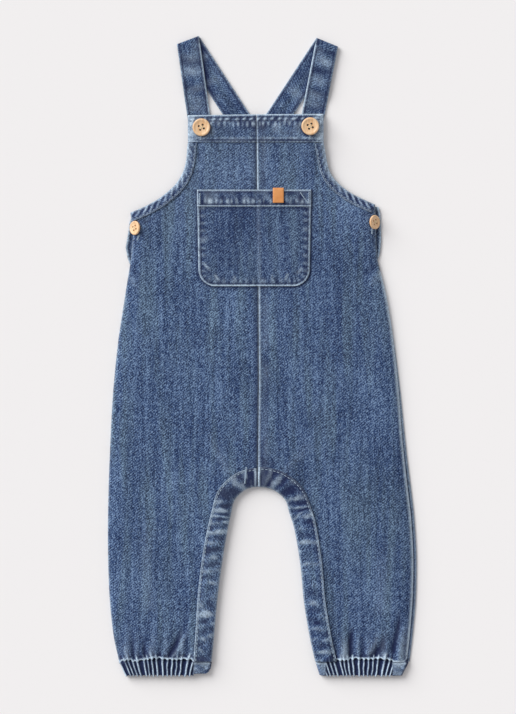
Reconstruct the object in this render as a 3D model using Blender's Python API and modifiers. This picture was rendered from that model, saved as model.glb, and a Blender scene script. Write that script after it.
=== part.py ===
"""Baby's denim dungarees, laid flat on their back.

The cloth pieces are walls that lie on each other in the order a maker sews them: two back
halves on the ground, two front halves over them, then hems, bands, pocket and buttons.
Each strap is one strip, folded flat at the shoulder and crossed behind the bib.
+Y runs from the hems to the shoulders, +Z up out of the surface, "left" is towards -X.
Sizes are in millimetres, measured from the middle of the hems, and made metres at the end.
"""
import math
from collections import namedtuple

import bmesh
import bpy

MM = 0.001
LEFT, RIGHT = -1, 1
SIDE_NAME = {LEFT: "left", RIGHT: "right"}

# The layout's middle, which becomes the origin
MIDDLE_X = 3.6
MIDDLE_Y = 272.8

# Cloth
WALL = 1.0
SEAM_GAP = 0.3
STRAP_WALL = 1.4
CUFF_WALL = 1.2

# How the front lies over the back: its edge, its crown, and how far in the edge rolls
EDGE_TOP = 2.3
CROWN = 3.4
ROLL = 14.0
BUTTON_RISE = 2.4
RISE_REACH = 12.0
# The bib lies over the straps: how much higher, and from where up
STRAP_LIFT = 1.3
LIFT_FOOT = 440.0
LIFT_RAMP = 14.0

# Grids
PANEL_COLUMNS = 8
STEPS_PER_ROW = 2
# Clearance of a piece whose facets don't follow the panel's own rows
LAID_GAP = 0.55

# Centre front seam: x at heights up the garment
SeamPoint = namedtuple("SeamPoint", "y x")
CENTRE_SEAM = [
    SeamPoint(161.5, -0.3),
    SeamPoint(250.0, 0.6),
    SeamPoint(340.0, 0.2),
    SeamPoint(400.0, -0.8),
    SeamPoint(480.0, -1.5),
]

# A section line across half the garment, from its inner edge to its outer edge. Inner x is
# the distance from the centre seam and outer x from the middle; peek is how far the back
# shows beyond the front.
Section = namedtuple("Section", "in_x in_y out_x out_y peek")

LEG = {
    LEFT: [
        Section(39.2, 12.8, 117.9, 12.8, 0.0),
        Section(37.1, 34.0, 122.7, 34.0, 0.0),
        Section(34.6, 62.0, 126.0, 64.0, 0.0),
        Section(30.9, 92.0, 127.5, 98.0, 0.0),
        Section(26.0, 122.0, 127.7, 130.0, 0.0),
        Section(22.5, 139.0, 127.2, 158.0, 0.0),
        Section(19.5, 150.3, 126.7, 174.0, 0.0),
        Section(11.8, 158.3, 126.1, 188.0, 0.0),
        Section(5.2, 161.0, 125.7, 198.0, 0.0),
        Section(0.0, 161.5, 125.3, 208.0, 0.0),
    ],
    RIGHT: [
        Section(48.9, 12.8, 129.0, 12.8, 2.4),
        Section(44.0, 35.0, 131.9, 38.0, 2.6),
        Section(39.3, 64.0, 134.4, 68.0, 2.8),
        Section(36.3, 95.0, 134.9, 102.0, 2.8),
        Section(31.3, 125.0, 133.1, 134.0, 2.8),
        Section(27.0, 139.0, 130.9, 154.0, 2.8),
        Section(23.4, 150.3, 128.8, 171.0, 2.7),
        Section(14.6, 158.2, 127.1, 185.0, 2.6),
        Section(6.6, 161.0, 126.0, 195.0, 2.5),
        Section(0.0, 161.5, 124.8, 206.0, 2.4),
    ],
}
BODY = {
    LEFT: [
        Section(0.0, 161.5, 125.3, 208.0, 0.0),
        Section(0.0, 200.0, 123.2, 243.0, 0.0),
        Section(0.0, 250.0, 119.1, 284.0, 0.0),
        Section(0.0, 300.0, 113.4, 322.0, 0.0),
        Section(0.0, 338.0, 108.9, 350.0, 0.0),
    ],
    RIGHT: [
        Section(0.0, 161.5, 124.8, 206.0, 2.4),
        Section(0.0, 200.0, 120.8, 245.0, 1.4),
        Section(0.0, 250.0, 116.0, 283.0, 0.5),
        Section(0.0, 300.0, 109.6, 322.0, 0.0),
        Section(0.0, 338.0, 101.8, 354.0, 0.0),
    ],
}
OPENING = {
    LEFT: [
        Section(0.0, 338.0, 108.9, 350.0, 0.0),
        Section(0.0, 356.0, 107.2, 366.0, 0.0),
        Section(0.0, 368.0, 106.5, 380.0, 0.0),
        Section(0.0, 380.0, 108.6, 394.6, 0.0),
    ],
    RIGHT: [
        Section(0.0, 338.0, 101.8, 354.0, 0.0),
        Section(0.0, 356.0, 100.6, 370.0, 0.0),
        Section(0.0, 370.0, 100.4, 386.0, 0.0),
        Section(0.0, 384.0, 99.6, 401.6, 0.0),
    ],
}
BIB = {
    LEFT: [
        Section(0.0, 380.0, 108.6, 394.6, 0.0),
        Section(0.0, 393.0, 94.2, 401.0, 0.0),
        Section(0.0, 404.0, 81.6, 408.6, 0.0),
        Section(0.0, 418.0, 69.3, 420.0, 0.0),
        Section(0.0, 434.0, 62.2, 434.1, 0.0),
        Section(0.0, 454.5, 59.6, 454.5, 0.0),
        Section(0.0, 478.2, 59.6, 477.4, 0.0),
    ],
    RIGHT: [
        Section(0.0, 384.0, 99.6, 401.6, 0.0),
        Section(0.0, 396.0, 86.6, 407.5, 0.0),
        Section(0.0, 406.0, 76.8, 412.9, 0.0),
        Section(0.0, 418.0, 67.1, 421.1, 0.0),
        Section(0.0, 432.0, 60.2, 432.0, 0.0),
        Section(0.0, 454.5, 55.8, 454.5, 0.0),
        Section(0.0, 478.2, 55.6, 478.6, 0.0),
    ],
}
# The back's own top: under the side opening it stops short, then curves to a low bib
BACK_TOP = {
    LEFT: [
        Section(0.0, 338.0, 108.9, 350.0, 0.0),
        Section(0.0, 339.0, 96.4, 350.8, 0.0),
        Section(0.0, 372.0, 96.0, 392.0, 0.0),
        Section(0.0, 388.0, 70.0, 400.0, 0.0),
        Section(0.0, 408.0, 45.0, 414.0, 0.0),
        Section(0.0, 437.0, 33.0, 437.0, 0.0),
    ],
    RIGHT: [
        Section(0.0, 338.0, 101.8, 354.0, 0.0),
        Section(0.0, 339.0, 90.4, 354.8, 0.0),
        Section(0.0, 376.0, 90.0, 396.0, 0.0),
        Section(0.0, 392.0, 66.0, 404.0, 0.0),
        Section(0.0, 410.0, 43.0, 416.0, 0.0),
        Section(0.0, 437.0, 33.0, 437.0, 0.0),
    ],
}

# Hems and bands laid on the front
ARMHOLE_HEM_WIDTH = 7.5
ARMHOLE_HEM_TOP = 454.1
BAND_SEAM_GAP = 0.4
BAND_FOOT = 13.2
# The inner leg band's outer line, as far from the panel's inner edge as each width
BandWidth = namedtuple("BandWidth", "y left right")
BAND_WIDTHS = [
    BandWidth(12.8, 15.0, 18.0),
    BandWidth(70.0, 17.0, 18.2),
    BandWidth(110.0, 17.5, 18.5),
    BandWidth(140.0, 16.5, 19.0),
    BandWidth(161.5, 16.0, 17.0),
]

# Side opening's underlap, seen beyond the front's edge
Underlap = namedtuple("Underlap", "y out_left out_right")
SIDE_PLACKET = [
    Underlap(0.0, 109.2, 102.2),
    Underlap(0.12, 110.9, 103.8),
    Underlap(0.35, 112.6, 104.8),
    Underlap(0.62, 110.6, 104.7),
    Underlap(0.88, 109.2, 104.0),
    Underlap(1.0, 107.6, 102.6),
]
PLACKET_SPAN = {LEFT: (351.2, 391.5), RIGHT: (355.2, 399.6)}
PLACKET_INNER = {LEFT: 96.9, RIGHT: 90.9}

# Cuffs: middle, half width and how the foot draws in
Cuff = namedtuple("Cuff", "centre half_width taper")
CUFFS = {LEFT: Cuff(-78.4, 39.2, 2.4), RIGHT: Cuff(88.6, 39.6, 3.2)}
CUFF_FOOT = 0.5
CUFF_TOP = 12.4
CUFF_HEIGHT = 5.4
CUFF_RIBS = 18
RIB_DEPTH = 0.45

# Straps: where the front arm starts, where it folds, and where the back arm ends
STRAP_WIDTH = 19.4
StrapRoute = namedtuple("StrapRoute", "foot_x foot_y fold_x fold_y back_tilt back_length")
STRAPS = {
    LEFT: StrapRoute(-46.3, 448.0, -59.4, 540.0, 33.1, 145.0),
    RIGHT: StrapRoute(41.4, 450.0, 58.6, 538.2, 33.4, 143.0),
}
# Heights up the garment where a strap changes its layer, and how fast it does so
FRONT_ARM_RISE = 483.0
ON_BACK_TOP = 455.0
CROSSING_FOOT = 421.0
CROSSING_TOP = 483.0
ARM_RAMP = 11.0
FOLD_RADIUS = 1.0
FOLD_STEPS = 4
ARM_STEP = 9.0
STRAP_COLUMNS = 3

# Pocket
POCKET_CENTRE_X = -3.3
POCKET_TOP = 414.0
POCKET_FOOT = 332.2
POCKET_HALF_TOP = 48.4
POCKET_HALF_FOOT = 47.2
POCKET_CORNER = 14.0
POCKET_HEM_FOOT = 399.8
TAB_X = (12.6, 21.9)
TAB_Y = (402.8, 415.6)

# Buttons: centre, radius and thickness
Button = namedtuple("Button", "x y radius thickness tilt")
BIB_BUTTONS = {
    LEFT: Button(-48.0, 466.8, 7.5, 2.4, 0.0),
    RIGHT: Button(44.3, 467.7, 7.5, 2.4, 0.0),
}
SIDE_BUTTONS = {
    LEFT: Button(-104.6, 381.6, 6.0, 2.0, 45.0),
    RIGHT: Button(99.2, 386.5, 6.0, 2.0, 45.0),
}
SIDE_BUTTON_Z = 6.45
SIDE_BUTTON_INSET = 7.0
BUTTON_STEPS = 28
RIM_WIDTH = 0.17
RIM_ROUND = 0.5
DISH_DEPTH = 0.5
HOLE_RADIUS = 0.85
HOLE_SPACING = 3.3
HOLE_TURN = 20.0
HOLE_SIDES = 8

FINISHES = {
    # name: (colour, roughness)
    "washed_denim": ((0.078, 0.153, 0.292, 1.0), 0.88),
    "beech_wood": ((0.716, 0.456, 0.209, 1.0), 0.45),
    "tan_leather": ((0.694, 0.262, 0.051, 1.0), 0.55),
}


# Numbers along tables


def blend(a, b, t):
    """The value t of the way from a to b."""
    return a + (b - a) * t


def smooth(t):
    """A 0 to 1 ramp with soft ends."""
    t = min(max(t, 0.0), 1.0)
    return t * t * (3.0 - 2.0 * t)


def look_up(rows, y, column):
    """A table's column at height y, straight between rows."""
    for low, high in zip(rows, rows[1:]):
        if y <= high.y:
            t = max(0.0, (y - low.y) / (high.y - low.y))
            return blend(getattr(low, column), getattr(high, column), t)
    return getattr(rows[-1], column)


def catmull(a, b, c, d, t):
    """A smooth curve's value between b and c."""
    square = 2 * a - 5 * b + 4 * c - d
    cube = 3 * b - a - 3 * c + d
    return 0.5 * (2 * b + (c - a) * t + square * t ** 2 + cube * t ** 3)


def smooth_rows(rows, steps):
    """The rows with smooth ones between them."""
    before = [2 * p - q for p, q in zip(rows[0], rows[1])]
    after = [2 * p - q for p, q in zip(rows[-1], rows[-2])]
    padded = [before, *rows, after]
    result = []
    for i in range(1, len(padded) - 2):
        for k in range(steps):
            columns = zip(*padded[i - 1:i + 3])
            result.append(Section(*(catmull(*column, k / steps) for column in columns)))
    result.append(rows[-1])
    return result


def join_runs(*runs):
    """Smooths each run and joins them, keeping the corners between runs sharp."""
    joined = []
    for run in runs:
        rows = smooth_rows(run, STEPS_PER_ROW)
        joined += rows if not joined else rows[1:]
    return joined


def seam_x(y):
    """The centre seam's x at height y."""
    return look_up(CENTRE_SEAM, y, "x")


def inner_point(side, row, gap=SEAM_GAP):
    """A section's inner end, half a seam gap from the centre seam or on the leg's edge."""
    return seam_x(row.in_y) + side * max(row.in_x, gap / 2), row.in_y


def front_outer_point(side, row):
    """The front's end of a section."""
    return side * (row.out_x - row.peek), row.out_y


def back_outer_point(side, row):
    """The back's end of a section."""
    return side * row.out_x, row.out_y


def between(a, b, t):
    """The point t of the way from a to b."""
    return blend(a[0], b[0], t), blend(a[1], b[1], t)


# The front's surface

FRONT_ROWS = {side: join_runs(LEG[side], BODY[side], OPENING[side], BIB[side]) for side in (LEFT, RIGHT)}
BACK_ROWS = {side: join_runs(LEG[side], BODY[side]) + BACK_TOP[side][1:] for side in (LEFT, RIGHT)}


def outline_edges():
    """The front's free edges, as straight stretches: sides, armholes, bib top, legs and feet."""
    edges = []
    for side in (LEFT, RIGHT):
        rows = FRONT_ROWS[side]
        outer = [front_outer_point(side, row) for row in rows]
        legs = [inner_point(side, row) for row in rows if row.in_y <= LEG[side][-1].in_y]
        top = [inner_point(side, rows[-1]), outer[-1]]
        foot = [(legs[0][0], 0.0), (outer[0][0], 0.0)]
        for line in (outer, legs, top, foot):
            edges += list(zip(line, line[1:]))
    return edges


OUTLINE = outline_edges()


def edge_distance(x, y):
    """How far a point lies from the front's nearest free edge."""
    nearest = math.inf
    for (ax, ay), (bx, by) in OUTLINE:
        dx, dy = bx - ax, by - ay
        t = ((x - ax) * dx + (y - ay) * dy) / (dx * dx + dy * dy)
        t = min(max(t, 0.0), 1.0)
        nearest = min(nearest, math.hypot(x - ax - t * dx, y - ay - t * dy))
    return nearest


def front_top(x, y):
    """The height of the front's outer surface: a crown that rolls down to its free edges."""
    roll = math.sin(0.5 * math.pi * min(1.0, edge_distance(x, y) / ROLL))
    height = EDGE_TOP + CROWN * roll
    for side, button in SIDE_BUTTONS.items():
        away = (x - button.x + side * SIDE_BUTTON_INSET) ** 2 + (y - button.y) ** 2
        height += BUTTON_RISE * roll * math.exp(-away / (2 * RISE_REACH ** 2))
    return height + STRAP_LIFT * smooth((y - LIFT_FOOT) / LIFT_RAMP)


def on_front(layers, gap=SEAM_GAP):
    """A surface a number of cloth layers above the front's, each clear of the last by a gap."""
    return lambda x, y: front_top(x, y) + layers * (WALL + gap)


# Making pieces


def finish_material(name):
    """The named finish, made once."""
    material = bpy.data.materials.get(name)
    if material is None:
        colour, roughness = FINISHES[name]
        material = bpy.data.materials.new(name)
        material.use_nodes = True
        shader = material.node_tree.nodes["Principled BSDF"]
        shader.inputs["Base Color"].default_value = colour
        shader.inputs["Roughness"].default_value = roughness
        shader.inputs["Metallic"].default_value = 0.0
    return material


def add_object(name, mesh, finish, collection):
    """Puts a mesh in the collection under its node's name."""
    piece = bpy.data.objects.new(name, mesh)
    piece.data.materials.append(finish_material(finish))
    collection.objects.link(piece)
    return piece


def add_sheet(name, columns, rows, point_at, wall, collection, finish="washed_denim"):
    """A wall of cloth under the surface that point_at(u, v) gives, u across and v along."""
    mesh = bpy.data.meshes.new(name)
    grid = bmesh.new()
    bmesh.ops.create_grid(grid, x_segments=columns, y_segments=rows, size=0.5)
    for vertex in grid.verts:
        u, v = vertex.co.x + 0.5, vertex.co.y + 0.5
        x, y, z = point_at(u, v)
        vertex.co = ((x - MIDDLE_X) * MM, (y - MIDDLE_Y) * MM, z * MM)
    bmesh.ops.recalc_face_normals(grid, faces=grid.faces)
    if sum(face.normal.z * face.calc_area() for face in grid.faces) < 0:
        bmesh.ops.reverse_faces(grid, faces=grid.faces)
    grid.to_mesh(mesh)
    grid.free()
    piece = add_object(name, mesh, finish, collection)
    solidify = piece.modifiers.new("wall", "SOLIDIFY")
    solidify.thickness = wall * MM
    solidify.offset = -1.0
    return piece


def row_at(rows, v):
    """The row and the remainder for a place v along the rows."""
    place = v * (len(rows) - 1)
    i = min(int(place + 1e-6), len(rows) - 2)
    return rows[i], rows[i + 1], place - i


def panel_point(rows, inner, outer, u, v):
    """A point u across and v along a panel given by its sections."""
    low, high, t = row_at(rows, v)
    a = between(inner(low), outer(low), u)
    b = between(inner(high), outer(high), u)
    return between(a, b, t)


def raise_to(surface, point):
    """A flat point lifted onto a surface."""
    return point[0], point[1], surface(*point)


# The pieces


def front_point(side, rows, surface, u, v):
    """A point on the front's sections, its columns closer together near both edges."""
    across = 0.5 - 0.5 * math.cos(math.pi * u)
    flat = panel_point(rows, lambda r: inner_point(side, r), lambda r: front_outer_point(side, r), across, v)
    return raise_to(surface, flat)


def add_front(side, collection):
    """A front half: leg and bib in one, crowned over the back."""
    rows = FRONT_ROWS[side]

    def point_at(u, v):
        return front_point(side, rows, front_top, u, v)

    add_sheet(f"front_{SIDE_NAME[side]}", PANEL_COLUMNS, len(rows) - 1, point_at, WALL, collection)


def add_back(side, collection):
    """A back half, flat on the ground."""
    rows = BACK_ROWS[side]

    def point_at(u, v):
        flat = panel_point(rows, lambda r: inner_point(side, r), lambda r: back_outer_point(side, r), u, v)
        return flat[0], flat[1], WALL

    add_sheet(f"back_{SIDE_NAME[side]}", 3, len(rows) - 1, point_at, WALL, collection)


def add_bib_hem(side, collection):
    """Half of the bib's top hem, on the front's own top rows."""
    rows = FRONT_ROWS[side][-STEPS_PER_ROW - 1:]

    def point_at(u, v):
        return front_point(side, rows, on_front(1), u, v)

    add_sheet(f"bib_hem_{SIDE_NAME[side]}", PANEL_COLUMNS, len(rows) - 1, point_at, WALL, collection)


def add_armhole_hem(side, collection):
    """The narrow turned hem along an armhole, from the side button to the bib's hem."""
    rows = [row for row in smooth_rows(BIB[side], 3) if row.out_y <= BIB[side][-2].out_y]
    edge = [front_outer_point(side, row) for row in rows]

    def point_at(u, v):
        place = v * (len(edge) - 1)
        i = min(int(place + 1e-6), len(edge) - 2)
        point = between(edge[i], edge[i + 1], place - i)
        before, after = edge[max(i - 1, 0)], edge[min(i + 1, len(edge) - 1)]
        if place - i > 0.5:
            before, after = edge[i], edge[min(i + 2, len(edge) - 1)]
        run = math.hypot(after[0] - before[0], after[1] - before[1])
        inward = (side * (after[1] - before[1]) / run, -side * (after[0] - before[0]) / run)
        step = -ARMHOLE_HEM_WIDTH * u
        flat = (point[0] + inward[0] * step, min(point[1] + inward[1] * step, ARMHOLE_HEM_TOP))
        return raise_to(on_front(1, LAID_GAP), flat)

    add_sheet(f"armhole_hem_{SIDE_NAME[side]}", 2, len(edge) - 1, point_at, WALL, collection)


def band_rows(side):
    """The inner edge's points and the band's outer line, worked out square to the edge."""
    rows = smooth_rows(LEG[side], STEPS_PER_ROW)
    edge = [inner_point(side, row, BAND_SEAM_GAP) for row in rows]
    edge[0] = (edge[0][0], BAND_FOOT)
    lines = []
    for i, (x, y) in enumerate(edge):
        before, after = edge[max(i - 1, 0)], edge[min(i + 1, len(edge) - 1)]
        run = math.hypot(after[0] - before[0], after[1] - before[1])
        out_x, out_y = side * (after[1] - before[1]) / run, -side * (after[0] - before[0]) / run
        width = look_up(BAND_WIDTHS, y, SIDE_NAME[side])
        if i == 0:
            out_x, out_y = side, 0.0
        if i == len(edge) - 1:
            out_x, out_y = 0.0, 1.0
        lines.append(((x, y), (x + out_x * width, y + out_y * width)))
    return lines


def add_inseam_band(side, collection):
    """The doubled band along an inner leg, round the crotch to the centre seam."""
    lines = band_rows(side)

    def point_at(u, v):
        low, high, t = row_at(lines, v)
        return raise_to(on_front(1, LAID_GAP), between(between(*low, u), between(*high, u), t))

    add_sheet(f"inseam_band_{SIDE_NAME[side]}", 2, len(lines) - 1, point_at, WALL, collection)


def add_side_placket(side, collection):
    """The side opening's underlap: flat on the ground, showing beyond the front's edge."""
    low_y, high_y = PLACKET_SPAN[side]

    def point_at(u, v):
        y = blend(low_y, high_y, v)
        out_x = look_up(SIDE_PLACKET, v, f"out_{SIDE_NAME[side]}")
        return side * blend(PLACKET_INNER[side], out_x, u), y, WALL

    add_sheet(f"side_placket_{SIDE_NAME[side]}", 2, 8, point_at, WALL, collection)


def add_cuff(side, collection):
    """A gathered cuff: a tube pressed flat, ribbed on top and flat underneath."""
    cuff = CUFFS[side]
    end_radius = CUFF_HEIGHT / 2
    straight = cuff.half_width - end_radius
    ring = []
    for k in range(2 * CUFF_RIBS + 1):
        x = -straight + straight * k / CUFF_RIBS
        ring.append((x, CUFF_HEIGHT - RIB_DEPTH * (k % 2)))
    for k in range(1, 6):
        turn = math.pi * k / 6
        ring.append((straight + end_radius * math.sin(turn), end_radius * (1 + math.cos(turn))))
    ring += [(straight - 2 * straight * k / CUFF_RIBS, 0.0) for k in range(CUFF_RIBS + 1)]
    for k in range(1, 6):
        turn = math.pi * k / 6
        ring.append((-straight - end_radius * math.sin(turn), end_radius * (1 - math.cos(turn))))

    mesh = bpy.data.meshes.new(f"cuff_{SIDE_NAME[side]}")
    tube = bmesh.new()
    loops = []
    for y in (CUFF_FOOT, CUFF_TOP):
        narrower = cuff.taper * (CUFF_TOP - y) / (CUFF_TOP - CUFF_FOOT)
        scale = (cuff.half_width - narrower) / cuff.half_width
        loop = [tube.verts.new(((cuff.centre + x * scale - MIDDLE_X) * MM, (y - MIDDLE_Y) * MM, z * MM))
                for x, z in ring]
        loops.append([tube.edges.new((a, b)) for a, b in zip(loop, loop[1:] + loop[:1])])
    bmesh.ops.bridge_loops(tube, edges=loops[0] + loops[1])
    bmesh.ops.recalc_face_normals(tube, faces=tube.faces)
    top_face = max(tube.faces, key=lambda face: face.calc_center_median().z)
    if top_face.normal.z < 0:
        bmesh.ops.reverse_faces(tube, faces=tube.faces)
    tube.to_mesh(mesh)
    tube.free()
    piece = add_object(f"cuff_{SIDE_NAME[side]}", mesh, "washed_denim", collection)
    solidify = piece.modifiers.new("wall", "SOLIDIFY")
    solidify.thickness = CUFF_WALL * MM
    solidify.offset = -1.0


def front_arm_height(y):
    """The front arm's middle: on the ground under the bib, over the back arm at the shoulder."""
    return STRAP_WALL / 2 + 2 * FOLD_RADIUS * smooth((y - FRONT_ARM_RISE) / (1.5 * ARM_RAMP))


def back_arm_height(side, y):
    """The back arm's middle: on the ground, then over the other arm and the back's bib."""
    on_back = (WALL + SEAM_GAP) * smooth((ON_BACK_TOP - y) / (1.5 * ARM_RAMP))
    height = STRAP_WALL / 2 + on_back
    if side == RIGHT:
        over_other = smooth((CROSSING_TOP - y) / ARM_RAMP) * smooth((y - CROSSING_FOOT) / ARM_RAMP)
        height += (STRAP_WALL + SEAM_GAP) * over_other
    return height


def add_strap(side, collection):
    """A strap: one strip, folded flat along a slanting line at the shoulder."""
    route = STRAPS[side]
    along_x, along_y = route.fold_x - route.foot_x, route.fold_y - route.foot_y
    front_length = math.hypot(along_x, along_y)
    along_x, along_y = along_x / front_length, along_y / front_length
    tilt = math.radians(route.back_tilt)
    back_x, back_y = -side * math.sin(tilt), -math.cos(tilt)
    out_x, out_y = along_x - back_x, along_y - back_y
    size = math.hypot(out_x, out_y)
    out_x, out_y = out_x / size, out_y / size
    bend = math.pi * FOLD_RADIUS
    slant = -(along_y * out_x - along_x * out_y) / (along_x * out_x + along_y * out_y)

    front_count = round(front_length / ARM_STEP)
    front_stops = [front_length * k / front_count for k in range(front_count)]
    bend_stops = [front_length + bend * k / FOLD_STEPS for k in range(FOLD_STEPS + 1)]
    back_count = round(route.back_length / ARM_STEP)
    back_stops = [bend_stops[-1] + route.back_length * k / back_count for k in range(1, back_count + 1)]
    stops = front_stops + bend_stops + back_stops

    def point_at(u, v):
        across = (u - 0.5) * STRAP_WIDTH
        low, high, t = row_at(stops, v)
        station = blend(low, high, t)
        reach = front_length if station < front_length else route.back_length
        station += across * slant * max(0.0, 1.0 - abs(station - front_length) / reach)
        x = route.foot_x + along_x * station + along_y * across
        y = route.foot_y + along_y * station - along_x * across
        beyond = (x - route.fold_x) * out_x + (y - route.fold_y) * out_y
        if beyond <= 0.0:
            return x, y, front_arm_height(y)
        if beyond < bend:
            turn = beyond / FOLD_RADIUS
            x += out_x * (FOLD_RADIUS * math.sin(turn) - beyond)
            y += out_y * (FOLD_RADIUS * math.sin(turn) - beyond)
            return x, y, STRAP_WALL / 2 + FOLD_RADIUS * (1 + math.cos(turn))
        x -= out_x * (2 * beyond - bend)
        y -= out_y * (2 * beyond - bend)
        return x, y, back_arm_height(side, y)

    name = f"strap_{SIDE_NAME[side]}"
    piece = add_sheet(name, STRAP_COLUMNS, len(stops) - 1, point_at, STRAP_WALL, collection)
    piece.modifiers["wall"].offset = 0.0


def pocket_rows():
    """The pocket's half widths down its height, with round lower corners."""
    corner_y = POCKET_FOOT + POCKET_CORNER
    rows = []
    for k in range(7):
        rows.append((blend(POCKET_TOP, corner_y, k / 6), blend(POCKET_HALF_TOP, POCKET_HALF_FOOT, k / 6)))
    for k in range(1, 5):
        turn = 0.5 * math.pi * k / 4
        half = POCKET_HALF_FOOT - POCKET_CORNER * (1 - math.cos(turn))
        rows.append((corner_y - POCKET_CORNER * math.sin(turn), half))
    return rows


def add_pocket(collection):
    """The patch pocket, laid on the front halves across the centre seam."""
    rows = pocket_rows()

    def point_at(u, v):
        low, high, t = row_at(rows, v)
        y, half = blend(low[0], high[0], t), blend(low[1], high[1], t)
        return raise_to(on_front(1), (POCKET_CENTRE_X + half * (2 * u - 1), y))

    add_sheet("bib_pocket", 8, len(rows) - 1, point_at, WALL, collection)


def add_pocket_hem(collection):
    """The pocket's mouth hem."""
    def point_at(u, v):
        flat = (POCKET_CENTRE_X + POCKET_HALF_TOP * (2 * u - 1), blend(POCKET_HEM_FOOT, POCKET_TOP, v))
        return raise_to(on_front(2), flat)

    add_sheet("pocket_hem", 8, 2, point_at, WALL, collection)


def add_pocket_tab(collection):
    """The small leather tab over the pocket's mouth."""
    def point_at(u, v):
        return raise_to(on_front(3), (blend(*TAB_X, u), blend(*TAB_Y, v)))

    add_sheet("pocket_tab", 3, 4, point_at, WALL, collection, "tan_leather")


def button_profile(button):
    """Half of a button's section, from the middle of its top to the middle of its underside."""
    r, half = button.radius, button.thickness / 2
    rim = r * (1 - 2 * RIM_WIDTH)
    return [
        (0.0, half - DISH_DEPTH),
        (rim, half - DISH_DEPTH),
        (r * (1 - RIM_WIDTH), half),
        (r - RIM_ROUND, half - 0.2 * RIM_ROUND),
        (r, half - 1.2 * RIM_ROUND),
        (r, RIM_ROUND - half),
        (r - RIM_ROUND, -half),
        (0.0, -half),
    ]


def add_button(name, button, z, collection, cutters):
    """A turned four-hole button, facing up or tilted over the side's roll."""
    mesh = bpy.data.meshes.new(name)
    outline = bmesh.new()
    points = [outline.verts.new((r * MM, 0.0, h * MM)) for r, h in button_profile(button)]
    for a, b in zip(points, points[1:]):
        outline.edges.new((a, b))
    outline.to_mesh(mesh)
    outline.free()
    piece = add_object(name, mesh, "beech_wood", collection)
    turn = piece.modifiers.new("turn", "SCREW")
    turn.axis = "Z"
    turn.steps = turn.render_steps = BUTTON_STEPS
    turn.use_merge_vertices = True
    turn.merge_threshold = 0.00005

    drills = bmesh.new()
    for k in range(4):
        angle = math.radians(HOLE_TURN + 45.0 + 90.0 * k)
        away = HOLE_SPACING / math.sqrt(2)
        made = bmesh.ops.create_cone(
            drills, cap_ends=True, segments=HOLE_SIDES, radius1=HOLE_RADIUS * MM, radius2=HOLE_RADIUS * MM,
            depth=3 * button.thickness * MM)
        bmesh.ops.translate(drills, verts=made["verts"],
                            vec=(away * math.cos(angle) * MM, away * math.sin(angle) * MM, 0.0))
    drill_mesh = bpy.data.meshes.new(f"{name}_holes")
    drills.to_mesh(drill_mesh)
    drills.free()
    cutter = bpy.data.objects.new(f"{name}_holes", drill_mesh)
    cutter.hide_render = True
    cutter.display_type = "WIRE"
    cutters.objects.link(cutter)
    cutter.parent = piece

    drill = piece.modifiers.new("holes", "BOOLEAN")
    drill.operation = "DIFFERENCE"
    drill.solver = "EXACT"
    drill.object = cutter
    piece.location = ((button.x - MIDDLE_X) * MM, (button.y - MIDDLE_Y) * MM, z * MM)
    piece.rotation_euler = (0.0, math.copysign(math.radians(button.tilt), button.x), 0.0)
    piece.data.shade_smooth()


def add_buttons(collection, cutters):
    """Two bib buttons flat on the hem and two side buttons on the roll of the sides."""
    for side in (LEFT, RIGHT):
        bib = BIB_BUTTONS[side]
        reach = (-bib.radius, 0.0, bib.radius)
        highest = max(front_top(bib.x + dx, bib.y + dy) for dx in reach for dy in reach)
        z = highest + WALL + 2 * SEAM_GAP + bib.thickness / 2
        add_button(f"bib_button_{SIDE_NAME[side]}", bib, z, collection, cutters)
        add_button(f"side_button_{SIDE_NAME[side]}", SIDE_BUTTONS[side], SIDE_BUTTON_Z, collection, cutters)


def main():
    """Clears the scene and makes every piece."""
    for old in list(bpy.data.objects):
        bpy.data.objects.remove(old, do_unlink=True)
    pieces = bpy.data.collections.new("kids_dungarees")
    cutters = bpy.data.collections.new("cutters")
    bpy.context.scene.collection.children.link(pieces)
    bpy.context.scene.collection.children.link(cutters)
    for side in (LEFT, RIGHT):
        add_back(side, pieces)
        add_side_placket(side, pieces)
        add_strap(side, pieces)
        add_cuff(side, pieces)
        add_front(side, pieces)
        add_bib_hem(side, pieces)
        add_armhole_hem(side, pieces)
        add_inseam_band(side, pieces)
    add_pocket(pieces)
    add_pocket_hem(pieces)
    add_pocket_tab(pieces)
    add_buttons(pieces, cutters)


main()
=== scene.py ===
"""The looks of a baby's denim dungarees, laid flat on their back and seen from above.

Every piece of cloth is a thin shell on its solid's form. Lengths are in millimetres from the
middle of the leg hems until a mesh is made, as a maker would measure the laid-out garment:
x to the right as it lies, y from the hems to the shoulders, z up out of the surface.
"""

import logging
import math
from collections.abc import Callable
from dataclasses import dataclass, field
from enum import Enum
from typing import NamedTuple

import bmesh
import bpy
import numpy as np
from mathutils import Matrix, Vector


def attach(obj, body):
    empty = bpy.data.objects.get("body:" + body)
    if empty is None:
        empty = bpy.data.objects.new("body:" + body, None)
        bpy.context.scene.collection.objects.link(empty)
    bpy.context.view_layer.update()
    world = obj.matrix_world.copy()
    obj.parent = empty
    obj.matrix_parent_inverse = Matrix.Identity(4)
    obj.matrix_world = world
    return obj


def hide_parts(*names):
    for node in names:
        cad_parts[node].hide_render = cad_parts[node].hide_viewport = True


Array = np.ndarray
Socket = bpy.types.NodeSocket
Tree = bpy.types.NodeTree
Material = bpy.types.Material
Object = bpy.types.Object

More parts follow.
